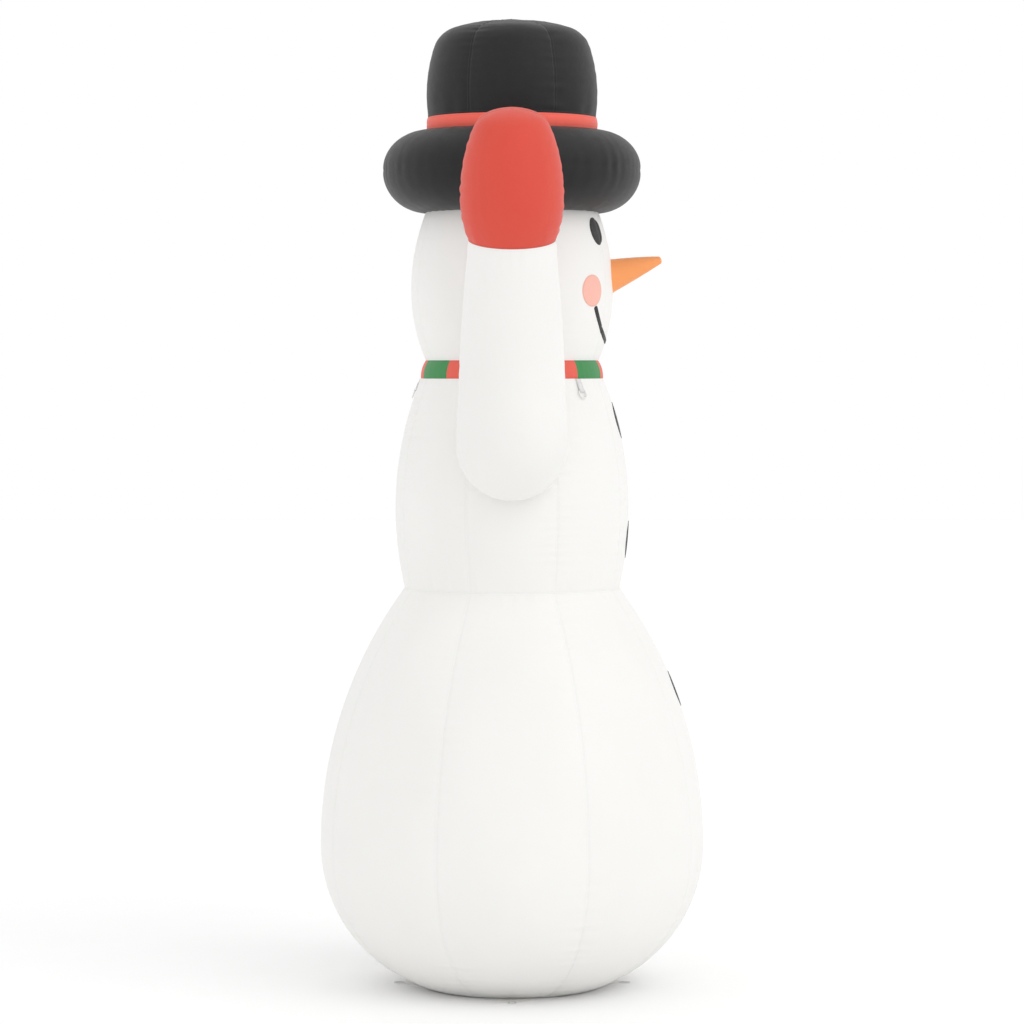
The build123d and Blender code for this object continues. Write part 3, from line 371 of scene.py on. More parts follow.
# %% Mesh helpers
def mesh_object(name, points, quads, weave, sewing, material, node=None, body="envelope", pad=False):
    """Makes a smooth-shaded piece, gives it its two maps, and hides the frame's parts that it stands for.
    """
    mesh = bpy.data.meshes.new(name)
    mesh.from_pydata(points.reshape(-1, 3).tolist(), [], quads)
    loops = np.empty(len(mesh.loops), int)
    mesh.loops.foreach_get("vertex_index", loops)
    for title, values in (("Weave", weave), ("Sewing", sewing)):
        layer = mesh.uv_layers.new(name=title)
        layer.data.foreach_set("uv", values.reshape(-1, 2)[loops].astype(np.float32).ravel())
    mesh.shade_smooth()
    mesh.materials.append(material)
    piece = bpy.data.objects.new(name, mesh)
    bpy.context.collection.objects.link(piece)
    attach(piece, body)
    if node:
        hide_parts(*([node] if isinstance(node, str) else node))
    return piece


def grid_quads(rows, columns, first=0):
    r, c = np.meshgrid(np.arange(rows - 1), np.arange(columns - 1), indexing="ij")
    corner = first + r * columns + c
    return np.stack([corner, corner + 1, corner + columns + 1, corner + columns], -1).reshape(-1, 4)


def crowded(start, end, count):
    """Numbers from start to end, close together at both ends."""
    ease = 0.5 - 0.5 * np.cos(np.linspace(0, math.pi, count))
    even = np.linspace(0, 1, count)
    return start + (end - start) * (0.6 * ease + 0.4 * even)


def sew(name, balloon, rows, columns, material, node, panels=None, pad=True):
    """Builds a balloon panel by panel. Panels are (start, end) angles; by default, seam to seam."""
    seams = np.degrees(balloon.seams) if len(balloon.seams) else np.array([0.0])
    seams = np.sort(seams)
    if panels is None:
        panels = list(zip(seams, [*seams[1:], seams[0] + 360]))
    points, weave, sewing, quads, first = [], [], [], [], 0
    s = crowded(0, balloon.length, rows)
    for start, end in panels:
        turn = crowded(math.radians(start), math.radians(end), columns)
        along, around = np.meshgrid(s, turn, indexing="ij")
        points.append(balloon.points(along, around).reshape(-1, 3))
        gap, _ = balloon.seam_gap(along, around)
        hem = np.minimum(along, balloon.length - along)
        radius = balloon.pick(balloon.radii, along)
        run = np.where(gap < hem, along, around * radius)
        weave.append(np.stack([around * radius, along], -1).reshape(-1, 2))
        sewing.append(np.stack([np.minimum(gap, hem), run], -1).reshape(-1, 2))
        quads.append(grid_quads(rows, columns, first))
        first += rows * columns
    faces = np.concatenate(quads).tolist()
    stacked = [np.concatenate(part) for part in (points, weave, sewing)]
    piece = mesh_object(name, *stacked[:1], faces, *stacked[1:], material, node, pad=pad)
    print(name, "faces", len(faces))
    return piece


def spread(first, count):
    """Seam angles, evenly spread round a turn."""
    return [first + 360 / count * k for k in range(count)]


# %% [markdown]
# ## Body, scarf and head
#
# Each section is an arc below its widest ring and another above it, the way air rounds out a tube of
# gores. The numbers are those of the CAD frame, in metres: widest radius, its height, the radii of the
# two arcs, and the heights of the seams below and above.


# %% Sections of the body
class Bulge:
    """The outline of one section, and the balloon it makes."""

    def __init__(self, widest, height, below, above, low, high):
        self.widest, self.height = widest, height
        self.below, self.above = below, above
        self.low, self.high = low, high

    def radius(self, z):
        z = np.asarray(z, float)
        arc = np.where(z < self.height, self.below, self.above)
        return self.widest - arc + np.sqrt(np.maximum(arc**2 - (z - self.height) ** 2, 1e-9))

    def balloon(self, seams, samples=240, **options):
        z = crowded(self.low, self.high, samples)
        centres = np.stack([0 * z, 0 * z, z], -1)
        return Balloon(centres, self.radius(z), seams, **options)

    def s_at(self, balloon, z):
        return np.interp(z, balloon.centres[:, 2], balloon.along)


BELLY = Bulge(0.736, 0.545, 0.575, 1.6593, 0.003, 1.530)
TORSO = Bulge(0.447, 1.833, 1.3291, 1.3094, 1.530, 2.331)
SCARF = Bulge(0.349, 2.338, 0.0615, 0.1107, 2.331, 2.400)
HEAD = Bulge(0.386, 2.668, 0.6693, 0.8103, 2.400, 2.975)
BAND = Bulge(0.327, 3.298, 0.075, 0.075, 3.268, 3.325)
SLEEVE_HEIGHT, SLEEVE_RADIUS = 2.088, 0.205


def armhole(points, random):
    """Puckers round the two armholes of the torso."""
    ring = np.hypot(points[..., 1], points[..., 2] - SLEEVE_HEIGHT)
    gap = np.where(np.abs(points[..., 0]) > 0.25, np.abs(ring - SLEEVE_RADIUS), 9.0)
    turn = np.arctan2(points[..., 2] - SLEEVE_HEIGHT, points[..., 1])
    waves = ring_ripple(turn, np.array([SLEEVE_RADIUS]), 0.06, random)
    return -0.004 * np.exp(-gap / 0.02) + 0.003 * waves * np.exp(-gap / 0.05)


SERVICE = math.radians(45)  # azimuth of the blower and the zip
service_out = np.array([math.cos(SERVICE), math.sin(SERVICE), 0])
service_side = np.array([-math.sin(SERVICE), math.cos(SERVICE), 0])
BLOWER = np.array([0.4959, 0.4959, 0.3483])


def clamped(points):
    """0 where the blower's flange or the zip's tape holds the cloth flat, rising to 1 away from them."""
    from_blower = np.linalg.norm(points - BLOWER, axis=-1) - 0.13
    beside = np.abs(points @ service_side) - 0.022
    beyond = np.maximum(0.68 - points[..., 2], points[..., 2] - 1.12)
    front = np.where(points @ service_out > 0, 0.0, 9.0)
    from_zip = np.hypot(np.maximum(beside, 0), np.maximum(beyond, 0)) + front
    return np.clip(np.minimum(from_blower, from_zip) / 0.05, 0, 1)


gore_seams = spread(22.5, 8)
belly = BELLY.balloon(gore_seams, seed=11, valley=0.005, ends=(0.004, 0.004), wave=0.05, calm=clamped)
torso = TORSO.balloon(gore_seams, seed=12, valley=0.003, ends=(0.004, 0.003), extra=armhole)
head = HEAD.balloon(gore_seams, seed=13, valley=0.003, pucker=0.0015, ends=(0.003, 0.003), wave=0.036)
scarf = SCARF.balloon([], seed=14, ends=(0.0012, 0.0012), wave=0.03)
belly_piece = sew("belly", belly, 220, 30, WHITE, "belly_gores")
opened = bmesh.new()
opened.from_mesh(belly_piece.data)
inside = [face for face in opened.faces if (face.calc_center_median() - Vector(BLOWER)).length < 0.100]
bmesh.ops.delete(opened, geom=inside, context="FACES")
opened.to_mesh(belly_piece.data)
opened.free()
print("faces cut out behind the blower:", len(inside))
sew("torso", torso, 130, 24, WHITE, "torso_gores")
sew("head", head, 110, 24, WHITE, "head_gores")
for name, first, material in (("red", -105, SCARF_RED), ("green", -75, GREEN)):
    stripes = [(first + 60 * k, first + 60 * k + 30) for k in range(6)]
    sew(f"scarf_{name}_stripes", scarf, 16, 26, material, f"scarf_{name}", panels=stripes)

# %% [markdown]
# ## Hat
#
# The brim is a fat ring of two rounded panels, open inside to the head and the crown. The crown is six
# gores under a shallow dome, and its top corner is the tightest curve on the whole snowman.


# %% Hat
BRIM_INNER, BRIM_REACH, BRIM_MIDDLE, BRIM_UP, BRIM_DOWN = 0.330, 0.164, 3.125, 0.150, 0.161
quarter = np.linspace(-math.pi / 2, math.pi / 2, 120)
brim_radii = BRIM_INNER + BRIM_REACH * np.cos(quarter)
brim_heights = BRIM_MIDDLE + np.where(quarter < 0, BRIM_DOWN, BRIM_UP) * np.sin(quarter)
brim_radii = np.concatenate([[BRIM_INNER - 0.03], brim_radii, [BRIM_INNER - 0.03]])
brim_heights = np.concatenate([[brim_heights[0]], brim_heights, [brim_heights[-1]]])
brim_centres = np.stack([0 * brim_heights, 0 * brim_heights, brim_heights], -1)


def brim_edge(points, random):
    """The seam round the brim's edge, and the puckers that its curve needs."""
    gap = np.abs(points[..., 2] - BRIM_MIDDLE)
    turn = np.arctan2(points[..., 1], points[..., 0])
    waves = ring_ripple(turn, np.array([0.494]), 0.055, random)
    return -0.004 * np.exp(-gap / 0.02) + 0.0025 * waves * np.exp(-gap / 0.05)


brim = Balloon(brim_centres, brim_radii, [], seed=21, ends=(0.004, 0.004), wave=0.06, extra=brim_edge)
sew("hat_brim_rings", brim, 90, 360, BLACK, "hat_brim", panels=[(0, 360)])
band = BAND.balloon([90], seed=22, ends=(0.0012, 0.0012), wave=0.04, valley=0.002)
# The band's red is painted lighter to offset the shade between brim and crown.
sew("hat_ribbon", band, 16, 280, BAND_RED_PAINTED_LIGHTER, "hat_band")


def crown_profile():
    """Side arc, rounded corner and dome, sampled as radius and height."""
    side, dome, corner = 0.585, 0.777, 0.112
    side_centre = np.array([0.330 - side, 3.412])
    dome_centre = np.array([0.0, 3.700 - dome])
    reach_side, reach_dome = side - corner, dome - corner
    gap = dome_centre - side_centre
    distance = np.linalg.norm(gap)
    ahead = (reach_side**2 - reach_dome**2 + distance**2) / (2 * distance)
    beside = math.sqrt(reach_side**2 - ahead**2)
    unit = gap / distance
    normals = (np.array([-unit[1], unit[0]]), np.array([unit[1], -unit[0]]))
    spots = [side_centre + unit * ahead + normal * beside for normal in normals]
    centre = max(spots, key=lambda spot: spot[0] + spot[1])
    first = math.atan2(*(centre - side_centre)[::-1])
    second = math.atan2(*(centre - dome_centre)[::-1])

    def arc(middle, radius, start, end, count):
        turns = np.linspace(start, end, count)[1:]
        return [middle + radius * np.array([math.cos(a), math.sin(a)]) for a in turns]

    lower = 0.425
    heights = np.linspace(3.325, 3.412, 30)
    low = [(float(0.330 - lower + math.sqrt(lower**2 - (z - 3.412) ** 2)), z) for z in heights]
    up = arc(side_centre, side, 0, first, 60)
    shoulder = arc(centre, corner, first, second, 40)
    top = arc(dome_centre, dome, second, math.pi / 2, 60)
    return np.array([*low, *up, *shoulder, *top])


crown_line = crown_profile()
crown_radii = np.maximum(crown_line[:, 0], 0.0)
crown_centres = np.stack([0 * crown_radii, 0 * crown_radii, crown_line[:, 1]], -1)
crown_sewing = dict(valley=0.006, pucker=0.0025, ends=(0.003, 0))
crown = Balloon(crown_centres, crown_radii, spread(30, 6), seed=23, **crown_sewing)
sew("hat_crown_gores", crown, 150, 34, BLACK, ["hat_crown", "crown_button"])

# %% [markdown]
# ## Arms
#
# Each arm is one long tube: a straight stub out of the torso, a bend, and a forearm that narrows to the
# wrist. The inner and outer panels of the sleeve meet along its front and its back. The mitten is a
# rounder balloon with its own thumb. The right arm is the mirror image, built with a different seed so
# that no wrinkle repeats.


# %% Arms
STRAIGHT, BEND_RADIUS, LEAN = 0.470, 0.240, math.radians(15)
FOREARM = 0.586
SHOULDER_GIRTH, ELBOW_GIRTH, WRIST_GIRTH = 0.209, 0.198, 0.158  # radii along the sleeve
bend_angle = math.pi / 2 - LEAN
MITTEN = Bulge(0.1915, 0.150, 0.352, 0.713, 0.0, 0.387)


def arm_path(side):
    """Centre line, outward direction and radius of an arm, from inside the torso to the wrist."""
    centres, outs, radii = [], [], []
    for x in np.linspace(0.33, STRAIGHT, 30):
        centres.append((x, 0, SLEEVE_HEIGHT))
        outs.append((0, 0, -1))
        radii.append(SHOULDER_GIRTH)
    for angle in np.linspace(0, bend_angle, 60)[1:]:
        x = STRAIGHT + BEND_RADIUS * math.sin(angle)
        centres.append((x, 0, SLEEVE_HEIGHT + BEND_RADIUS * (1 - math.cos(angle))))
        outs.append((math.sin(angle), 0, -math.cos(angle)))
        radii.append(SHOULDER_GIRTH + (ELBOW_GIRTH - SHOULDER_GIRTH) * (angle / bend_angle) ** 2)
    elbow = np.array(centres[-1])
    up = np.array([math.sin(LEAN), 0, math.cos(LEAN)])
    for step in np.linspace(0, 1, 90)[1:]:
        centres.append(elbow + up * FOREARM * step)
        outs.append((math.cos(LEAN), 0, -math.sin(LEAN)))
        radii.append(ELBOW_GIRTH + (WRIST_GIRTH - ELBOW_GIRTH) * (0.35 * step + 0.65 * step**2))
    flip = np.array([side, 1, 1])
    return np.array(centres) * flip, np.array(outs) * flip, np.array(radii)


def into_torso(points, random):
    """Puckers where a sleeve is sewn to the torso."""
    gap = np.abs(np.hypot(points[..., 0], points[..., 1]) - TORSO.radius(points[..., 2]))
    near = np.where(points[..., 2] < 2.40, gap, 9.0)
    near = np.where(np.abs(points[..., 0]) < 0.55, near, 9.0)
    turn = np.arctan2(points[..., 2] - SLEEVE_HEIGHT, points[..., 1])
    waves = ring_ripple(turn, np.array([SLEEVE_RADIUS]), 0.055, random)
    return -0.006 * np.exp(-near / 0.018) + 0.004 * waves * np.exp(-near / 0.06)


def mitten_line():
    """Radius and height of the mitten, with a rounded top."""
    z = np.linspace(0, 0.477, 200)
    arc = np.where(z < 0.150, 0.352, 0.713)
    side = 0.1915 - arc + np.sqrt(arc**2 - (z - 0.150) ** 2)
    dome = np.sqrt(np.maximum(0.240**2 - np.maximum(z - (0.477 - 0.240), 0) ** 2, 0))
    power = 9.0
    radius = (side**-power + np.maximum(dome, 1e-6) ** -power) ** (-1 / power)
    return radius, z


for side, name, seed in ((1, "left", 31), (-1, "right", 41)):
    centres, outs, radii = arm_path(side)
    forward = (0, side, 0)
    options = dict(out=outs, side=forward, seed=seed, valley=0.004, pucker=0.003, wave=0.05)
    arm = Balloon(centres, radii, [90, 270], ends=(0, 0.003), extra=into_torso, **options)
    sew(f"{name}_arm", arm, 170, 56, WHITE, f"{name}_sleeve")

    up = np.array([side * math.sin(LEAN), 0, math.cos(LEAN)])
    out = np.array([side * math.cos(LEAN), 0, -math.sin(LEAN)])
    mitten_radii, heights = mitten_line()
    mitten_centres = centres[-1] + heights[:, None] * up
    mitten = Balloon(
        mitten_centres, mitten_radii, [90, 270], out=out, side=forward, seed=seed + 1,
        valley=0.004, pucker=0.0028, wave=0.038, ends=(0.004, 0),
    )
    sew(f"{name}_hand", mitten, 120, 60, RED, f"{name}_mitten")

    root = centres[-1] + up * 0.130
    reach = math.radians(60)
    finger = up * math.cos(reach) - out * math.sin(reach)
    across = out * math.cos(reach) + up * math.sin(reach)
    tip = np.linspace(0, math.pi / 2, 50)
    thumb_s = np.concatenate([np.linspace(0.10, 0.252, 40), 0.252 + 0.078 * np.sin(tip[1:])])
    thumb_r = np.concatenate([np.full(40, 0.078), 0.078 * np.cos(tip[1:])])
    thumb = Balloon(
        root + thumb_s[:, None] * finger, thumb_r, [90, 270], out=across, side=forward, seed=seed + 2,
        valley=0.002, pucker=0.0018, wave=0.03, ends=(0, 0),
    )
    sew(f"{name}_finger", thumb, 60, 36, RED, f"{name}_thumb")

# %% [markdown]
# ## Sewn-on face and buttons
#
# Applique patches follow the balloon under them, seams and puckers included. Each one is a fan of rings
# in a plane that touches the cloth, dropped onto the balloon, with its rim turned under.


# %% Patches
def on_cloth(bulge, balloon, points, lift):
    """Drops points near a bulge onto its balloon."""
    turn = np.arctan2(points[..., 1], points[..., 0])
    return balloon.points(bulge.s_at(balloon, points[..., 2]), turn, lift)


def patch(name, bulge, balloon, spots, size, material, node):
    """Round or oval patches of the given width and height, at (height, azimuth) spots."""
    half_wide, half_tall = size[0] / 2, size[1] / 2
    rings = np.array([0.001, 0.2, 0.4, 0.6, 0.75, 0.86, 0.92, 0.95, 0.97, 0.985, 1.0, 1.008])
    lifts = np.array([2.6, 2.6, 2.6, 2.5, 2.4, 2.2, 2.1, 2.2, 2.2, 1.9, 0.8, -3.0]) * 0.001
    turns = np.linspace(0, 2 * math.pi, 97)
    points, weave, sewing, quads, first = [], [], [], [], 0
    for height, azimuth in spots:
        way = math.radians(azimuth)
        radius = float(bulge.radius(height))
        slope = (float(bulge.radius(height + 0.001)) - float(bulge.radius(height - 0.001))) / 0.002
        side = np.array([-math.sin(way), math.cos(way), 0])
        up = np.array([math.cos(way) * slope, math.sin(way) * slope, 1.0])
        up /= np.linalg.norm(up)
        middle = np.array([math.cos(way) * radius, math.sin(way) * radius, height])
        ring, turn = np.meshgrid(rings, turns, indexing="ij")
        x, y = ring * np.cos(turn) * half_wide, ring * np.sin(turn) * half_tall
        flat = middle + x[..., None] * side + y[..., None] * up
        lift = np.broadcast_to(lifts[:, None], x.shape)
        points.append(on_cloth(bulge, balloon, flat, lift).reshape(-1, 3))
        weave.append(np.stack([x, y], -1).reshape(-1, 2))
        edge = (1 - ring) * half_wide
        sewing.append(np.stack([np.maximum(edge, 0) + 0.0028, turn * half_wide], -1).reshape(-1, 2))
        quads.append(grid_quads(len(rings), len(turns), first))
        first += x.size
    stacked = [np.concatenate(part) for part in (points, weave, sewing)]
    return mesh_object(name, stacked[0], np.concatenate(quads).tolist(), *stacked[1:], material, node)


FRONT = -90  # azimuth that the snowman faces
EYE_SIZE, CHEEK_SIZE, BUTTON_SIZE = (0.092, 0.108), (0.120, 0.120), (0.145, 0.145)
eye_spots = [(2.888, FRONT - 26), (2.888, FRONT + 26)]
cheek_spots = [(2.662, FRONT - 38), (2.662, FRONT + 38)]
chest_spots = [(1.714, FRONT), (2.171, FRONT)]
patch("eye_patches", HEAD, head, eye_spots, EYE_SIZE, BLACK_PATCH, "eyes")
patch("cheek_patches", HEAD, head, cheek_spots, CHEEK_SIZE, PINK, "cheeks")
patch("belly_button", BELLY, belly, [(1.140, FRONT)], BUTTON_SIZE, BLACK_PATCH, "buttons")
patch("chest_buttons", TORSO, torso, chest_spots, BUTTON_SIZE, BLACK_PATCH, "buttons")

SMILE_HALF, SMILE_CORNER, SMILE_BOTTOM, SMILE_WIDTH = 0.214, 2.596, 2.472, 0.018
rise = SMILE_CORNER - SMILE_BOTTOM
smile_radius = (SMILE_HALF**2 + rise**2) / (2 * rise)
half_angle = math.asin(SMILE_HALF / smile_radius)
cap_angle = SMILE_WIDTH / 2 / smile_radius
bend = np.linspace(-half_angle - cap_angle * 0.999, half_angle + cap_angle * 0.999, 240)
past = np.maximum(np.abs(bend) - half_angle, 0) * smile_radius
half_width = np.sqrt(np.maximum((SMILE_WIDTH / 2) ** 2 - past**2, 1e-9))
steps = np.array([-1.1, -1.0, -0.94, -0.8, -0.4, 0, 0.4, 0.8, 0.94, 1.0, 1.1])
smile_lift = np.array([-3.0, 0.6, 1.8, 2.2, 2.4, 2.4, 2.4, 2.2, 1.8, 0.6, -3.0]) * 0.001
across = smile_radius + half_width[:, None] * steps
smile_x = across * np.sin(bend)[:, None]
smile_z = SMILE_BOTTOM + smile_radius - across * np.cos(bend)[:, None]
smile_y = -np.sqrt(np.maximum(HEAD.radius(smile_z) ** 2 - smile_x**2, 1e-6))
smile_flat = np.stack([smile_x, smile_y, smile_z], -1)
smile_points = on_cloth(HEAD, head, smile_flat, np.broadcast_to(smile_lift, smile_x.shape))
smile_run = np.broadcast_to((bend * smile_radius)[:, None], smile_x.shape)
smile_edge = np.broadcast_to((1.0 - np.abs(steps)) * SMILE_WIDTH / 2 + 0.004, smile_x.shape)
smile_weave = np.stack([smile_run, across], -1)
smile_sewing = np.stack([np.maximum(smile_edge, 0), smile_run], -1)
smile_quads = grid_quads(*smile_x.shape).tolist()
mesh_object("smile", smile_points, smile_quads, smile_weave, smile_sewing, BLACK_PATCH, "mouth")
print("smile is", round(2 * half_angle * smile_radius * 1000), "mm long")

# %% [markdown]
# The nose is a slim cone with its seam underneath. It points up a little, because air straightens it.

# %% Nose
NOSE_TILT = math.radians(17.6)
nose_way = np.array([0, -math.cos(NOSE_TILT), math.sin(NOSE_TILT)])
nose_root = np.array([0, -(float(HEAD.radius(2.725)) - 0.002), 2.725])
TIP_START, TIP_LENGTH = 0.190, 0.009
tip_turn = np.linspace(0, math.pi / 2, 24)
nose_side = np.linspace(-0.03, TIP_START, 70)
nose_reach = np.concatenate([nose_side, TIP_START + TIP_LENGTH * np.sin(tip_turn[1:])])
plump = 0.0605 - 0.245 * nose_reach - 0.21 * nose_reach * (nose_reach - 0.199)
nose_radii = np.where(nose_reach <= TIP_START, plump, 0)
nose_radii[69:] = nose_radii[69] * np.cos(tip_turn)


def into_head(points, random):
    """Puckers where the nose is sewn to the head."""
    gap = np.abs(np.hypot(points[..., 0], points[..., 1]) - HEAD.radius(points[..., 2]))
    turn = np.arctan2(points[..., 2] - 2.725, points[..., 0])
    return (0.0016 * ring_ripple(turn, np.array([0.06]), 0.03, random) - 0.001) * np.exp(-gap / 0.014)


nose_up = np.cross(nose_way, (1, 0, 0)) * -1
nose = Balloon(
    nose_root + nose_reach[:, None] * nose_way, nose_radii, [-90], out=(1, 0, 0), side=nose_up, seed=51,
    valley=0.0012, pucker=0.0012, wave=0.022, ends=(0, 0), extra=into_head,
)
sew("carrot_nose", nose, 90, 70, ORANGE, "nose")

# %% [markdown]
# ## Webbing, flaps and base
#
# `ribbon` sweeps a flat strip with rounded edges along a path. It makes the guy-rope tabs, which fold
# round their rings, and the flaps and loops that stakes hold down.


# %% Ribbons
def ribbon(name, paths, widths, thickness, material, node):
    """Flat strips. Each path is (points, upward normals); widths hold one number per point."""
    under = [(-1, -0.6), (-0.97, -1), (0, -1), (0.97, -1), (1, -0.6)]
    over = [(x, -y) for x, y in under[::-1]]
    ring = np.array([*under, *over, under[0]])
    points, weave, sewing, quads, first = [], [], [], [], 0
    for path, normals in paths:
        path, normals = np.array(path, float), np.array(normals, float)
        ahead = np.gradient(path, axis=0)
        side = np.cross(ahead, normals)
        side /= np.linalg.norm(side, axis=1, keepdims=True)
        normals = np.cross(side, ahead)
        normals /= np.linalg.norm(normals, axis=1, keepdims=True)
        half = np.broadcast_to(np.asarray(widths, float) / 2, len(path))
        sides = half[:, None, None] * ring[:, :1] * side[:, None, :]
        grid = path[:, None, :] + sides + thickness / 2 * ring[:, 1:] * normals[:, None, :]
        run = np.concatenate([[0], np.cumsum(np.linalg.norm(np.diff(path, axis=0), axis=1))])
        u = half[:, None] * ring[:, 0]
        points.append(grid.reshape(-1, 3))
        weave.append(np.stack([u, np.broadcast_to(run[:, None], u.shape)], -1).reshape(-1, 2))
        edge = half[:, None] - np.abs(u) + 0.003
        sewing.append(np.stack([edge, np.broadcast_to(run[:, None], u.shape)], -1).reshape(-1, 2))
        last = first + (len(path) - 1) * len(ring)
        start_cap, end_cap = [list(range(corner, corner + len(ring) - 1)) for corner in (first, last)]
        quads.extend([*grid_quads(len(path), len(ring), first).tolist(), start_cap[::-1], end_cap])
        first = last + len(ring)
    stacked = [np.concatenate(part) for part in (points, weave, sewing)]
    return mesh_object(name, stacked[0], quads, *stacked[1:], material, node)


WEBBING = cloth("webbing", (0.76, 0.76, 0.75, 1), thread=(0.6, 0.6, 0.6, 1), relief=1.0)
TAB_HEIGHT, TAB_LIFT, BAR_GAP = 2.283, 0.0052, 0.00255
tab_paths = []
for azimuth in (-135, -45, 90):
    way = math.radians(azimuth)
    out = np.array([math.cos(way), math.sin(way), 0])
    slope = math.asin((TAB_HEIGHT - TORSO.height) / TORSO.above)
    up = np.array([0, 0, 1]) * math.cos(slope) - out * math.sin(slope)
    normal = out * math.cos(slope) + np.array([0, 0, 1]) * math.sin(slope)
    origin = out * float(TORSO.radius(TAB_HEIGHT)) + np.array([0, 0, TAB_HEIGHT])
    turns = np.linspace(-math.pi / 2, math.pi / 2, 18)
    wrap = BAR_GAP + 0.0007
    back = [(y, TAB_LIFT - wrap) for y in np.linspace(0.050, 0.001, 14)]
    round_ = [(-wrap * math.cos(a), TAB_LIFT + wrap * math.sin(a)) for a in turns]
    over = [(y, TAB_LIFT + wrap - 0.0042 * min(1, y / 0.012)) for y in np.linspace(0.001, 0.034, 12)]
    flat = np.array([*back, *round_, *over])
    lead = np.gradient(flat, axis=0)
    path = origin + flat[:, :1] * up + flat[:, 1:] * normal
    tab_paths.append((path, -lead[:, 1:] * up + lead[:, :1] * normal))
ribbon("guy_tabs", tab_paths, 0.025, 0.0013, WEBBING, "tether_tabs")

BASE_RADIUS = float(BELLY.radius(0.003))
reach = np.linspace(BASE_RADIUS - 0.010, BASE_RADIUS + 0.062, 16)
share = np.clip((reach - BASE_RADIUS + 0.030) / 0.088, 0, 1)
flap_widths = 0.260 + (0.070 - 0.260) * share
flap_paths, loop_paths = [], []
for quarter_turn in range(4):
    way = math.radians(90 * quarter_turn)
    out = np.array([math.cos(way), math.sin(way), 0])
    side = np.array([-math.sin(way), math.cos(way), 0])
    flap = out * reach[:, None] + np.array([0, 0, 0.0011])
    flap_paths.append((flap, np.tile([0, 0, 1.0], (len(reach), 1))))
    lap = np.linspace(0, 2 * math.pi, 49)
    middle = out * (BASE_RADIUS + 0.058 + 0.023)
    oval_x = np.sign(np.cos(lap)) * np.abs(np.cos(lap)) ** 0.6 * 0.018
    oval_y = np.sign(np.sin(lap)) * np.abs(np.sin(lap)) ** 0.6 * 0.0125
    loop = middle + oval_x[:, None] * out + oval_y[:, None] * side + np.array([0, 0, 0.0014])
    loop_paths.append((loop, np.tile([0, 0, 1.0], (len(lap), 1))))
ribbon("stake_flaps", flap_paths, flap_widths, 0.0020, WHITE, "anchor_flaps")
ribbon("stake_loops", loop_paths, 0.009, 0.0025, WEBBING, "anchor_loops")
disc_radii = np.linspace(0.0, BASE_RADIUS, 60)
disc = Balloon(np.tile([0, 0, 0.0008], (60, 1)), disc_radii, [], seed=61, ends=(0, 0))
sew("base_disc", disc, 40, 120, WHITE, "base_panel", panels=[(0, 360)], pad=False)

# %% [markdown]
# ## Zip teeth
#
# Moulded teeth alternate from side to side, each one a small block with a rounded nose. They follow the
# arc of the belly's upper outline.

# %% Zip
ZIP_LOW, ZIP_LENGTH, ZIP_STOP, TOOTH_PITCH = 0.690, 0.420, 0.010, 0.0030
zip_start = math.asin((ZIP_LOW - BELLY.height) / BELLY.above)
arc_centre = service_out * (BELLY.widest - BELLY.above) + np.array([0, 0, BELLY.height])


def zip_point(run, beside, lift):
    """A point on the zip: distance up it, distance beside its middle, and height above the cloth."""
    angle = zip_start + run / BELLY.above
    out = service_out * math.cos(angle) + np.array([0, 0, 1]) * math.sin(angle)
    return arc_centre + out * (BELLY.above + lift) + service_side * beside


# Distance from the zip's middle, and size there.
tooth_section = [(0.0002, 0.2), (0.0012, 0.75), (0.0030, 1.0), (0.0050, 1.0)]
tooth_points, tooth_quads = [], []
for side in (1, -1):
    for number in range(int((ZIP_LENGTH - 2 * ZIP_STOP) / TOOTH_PITCH) - 1):
        run = ZIP_STOP + 0.003 + TOOTH_PITCH * (number + (0.5 if side < 0 else 0))
        first = len(tooth_points)
        for beside, size in tooth_section:
            half, foot, top = 0.00095 * size, -0.0004, 0.0024 * size + 0.0002
            for along, lift in ((-half, foot), (half, foot), (half, top), (-half, top)):
                tooth_points.append(zip_point(run + along, side * beside, lift))
        for k in range(len(tooth_section) - 1):
            for corner in range(4):
                a, b = first + 4 * k + corner, first + 4 * k + (corner + 1) % 4
                tooth_quads.append((a, b, b + 4, a + 4) if side > 0 else (b, a, a + 4, b + 4))
        tooth_quads.append(tuple(range(first, first + 4)))
        last = first + 4 * (len(tooth_section) - 1)
        tooth_quads.append(tuple(range(last, last + 4)))
tooth_points = np.array(tooth_points)
plain_map = np.stack([tooth_points[:, 0], tooth_points[:, 2]], -1)

# %% [markdown]
# ## Plastic and metal
#
# The blower, the zip's slider, the rings and the lamps keep their CAD shapes. Moulded plastic has a fine
# spark-eroded grain and a little dust; cast zinc and steel pick up tiny scratches.


# %% Hard materials
def moulded(name, colour, rough=0.5, grain=0.00006, coat=0.0):
    paint = Paint(name)
    body = paint.node("ShaderNodeTexCoord", "Object")
    fine = paint.noise(body, 1400.0, 2.0)
    cloud = paint.noise(body, 18.0, 4.0)
    tone = paint.blend(cloud, shade(colour, 0.85), shade(colour, 1.15))
    dusty = paint.blend((cloud > 0.62) * 0.12, tone, (0.45, 0.42, 0.38, 1))
    height = fine * grain + cloud * 0.0003
    bump = paint.node("ShaderNodeBump", 0, None, Strength=0.6, Distance=1.0, Height=height)
    paint.finish(Base_Color=dusty, Roughness=cloud * 0.25 + (rough - 0.1), Normal=bump)
    return paint.finish(Coat_Weight=coat, Specular_IOR_Level=0.45)


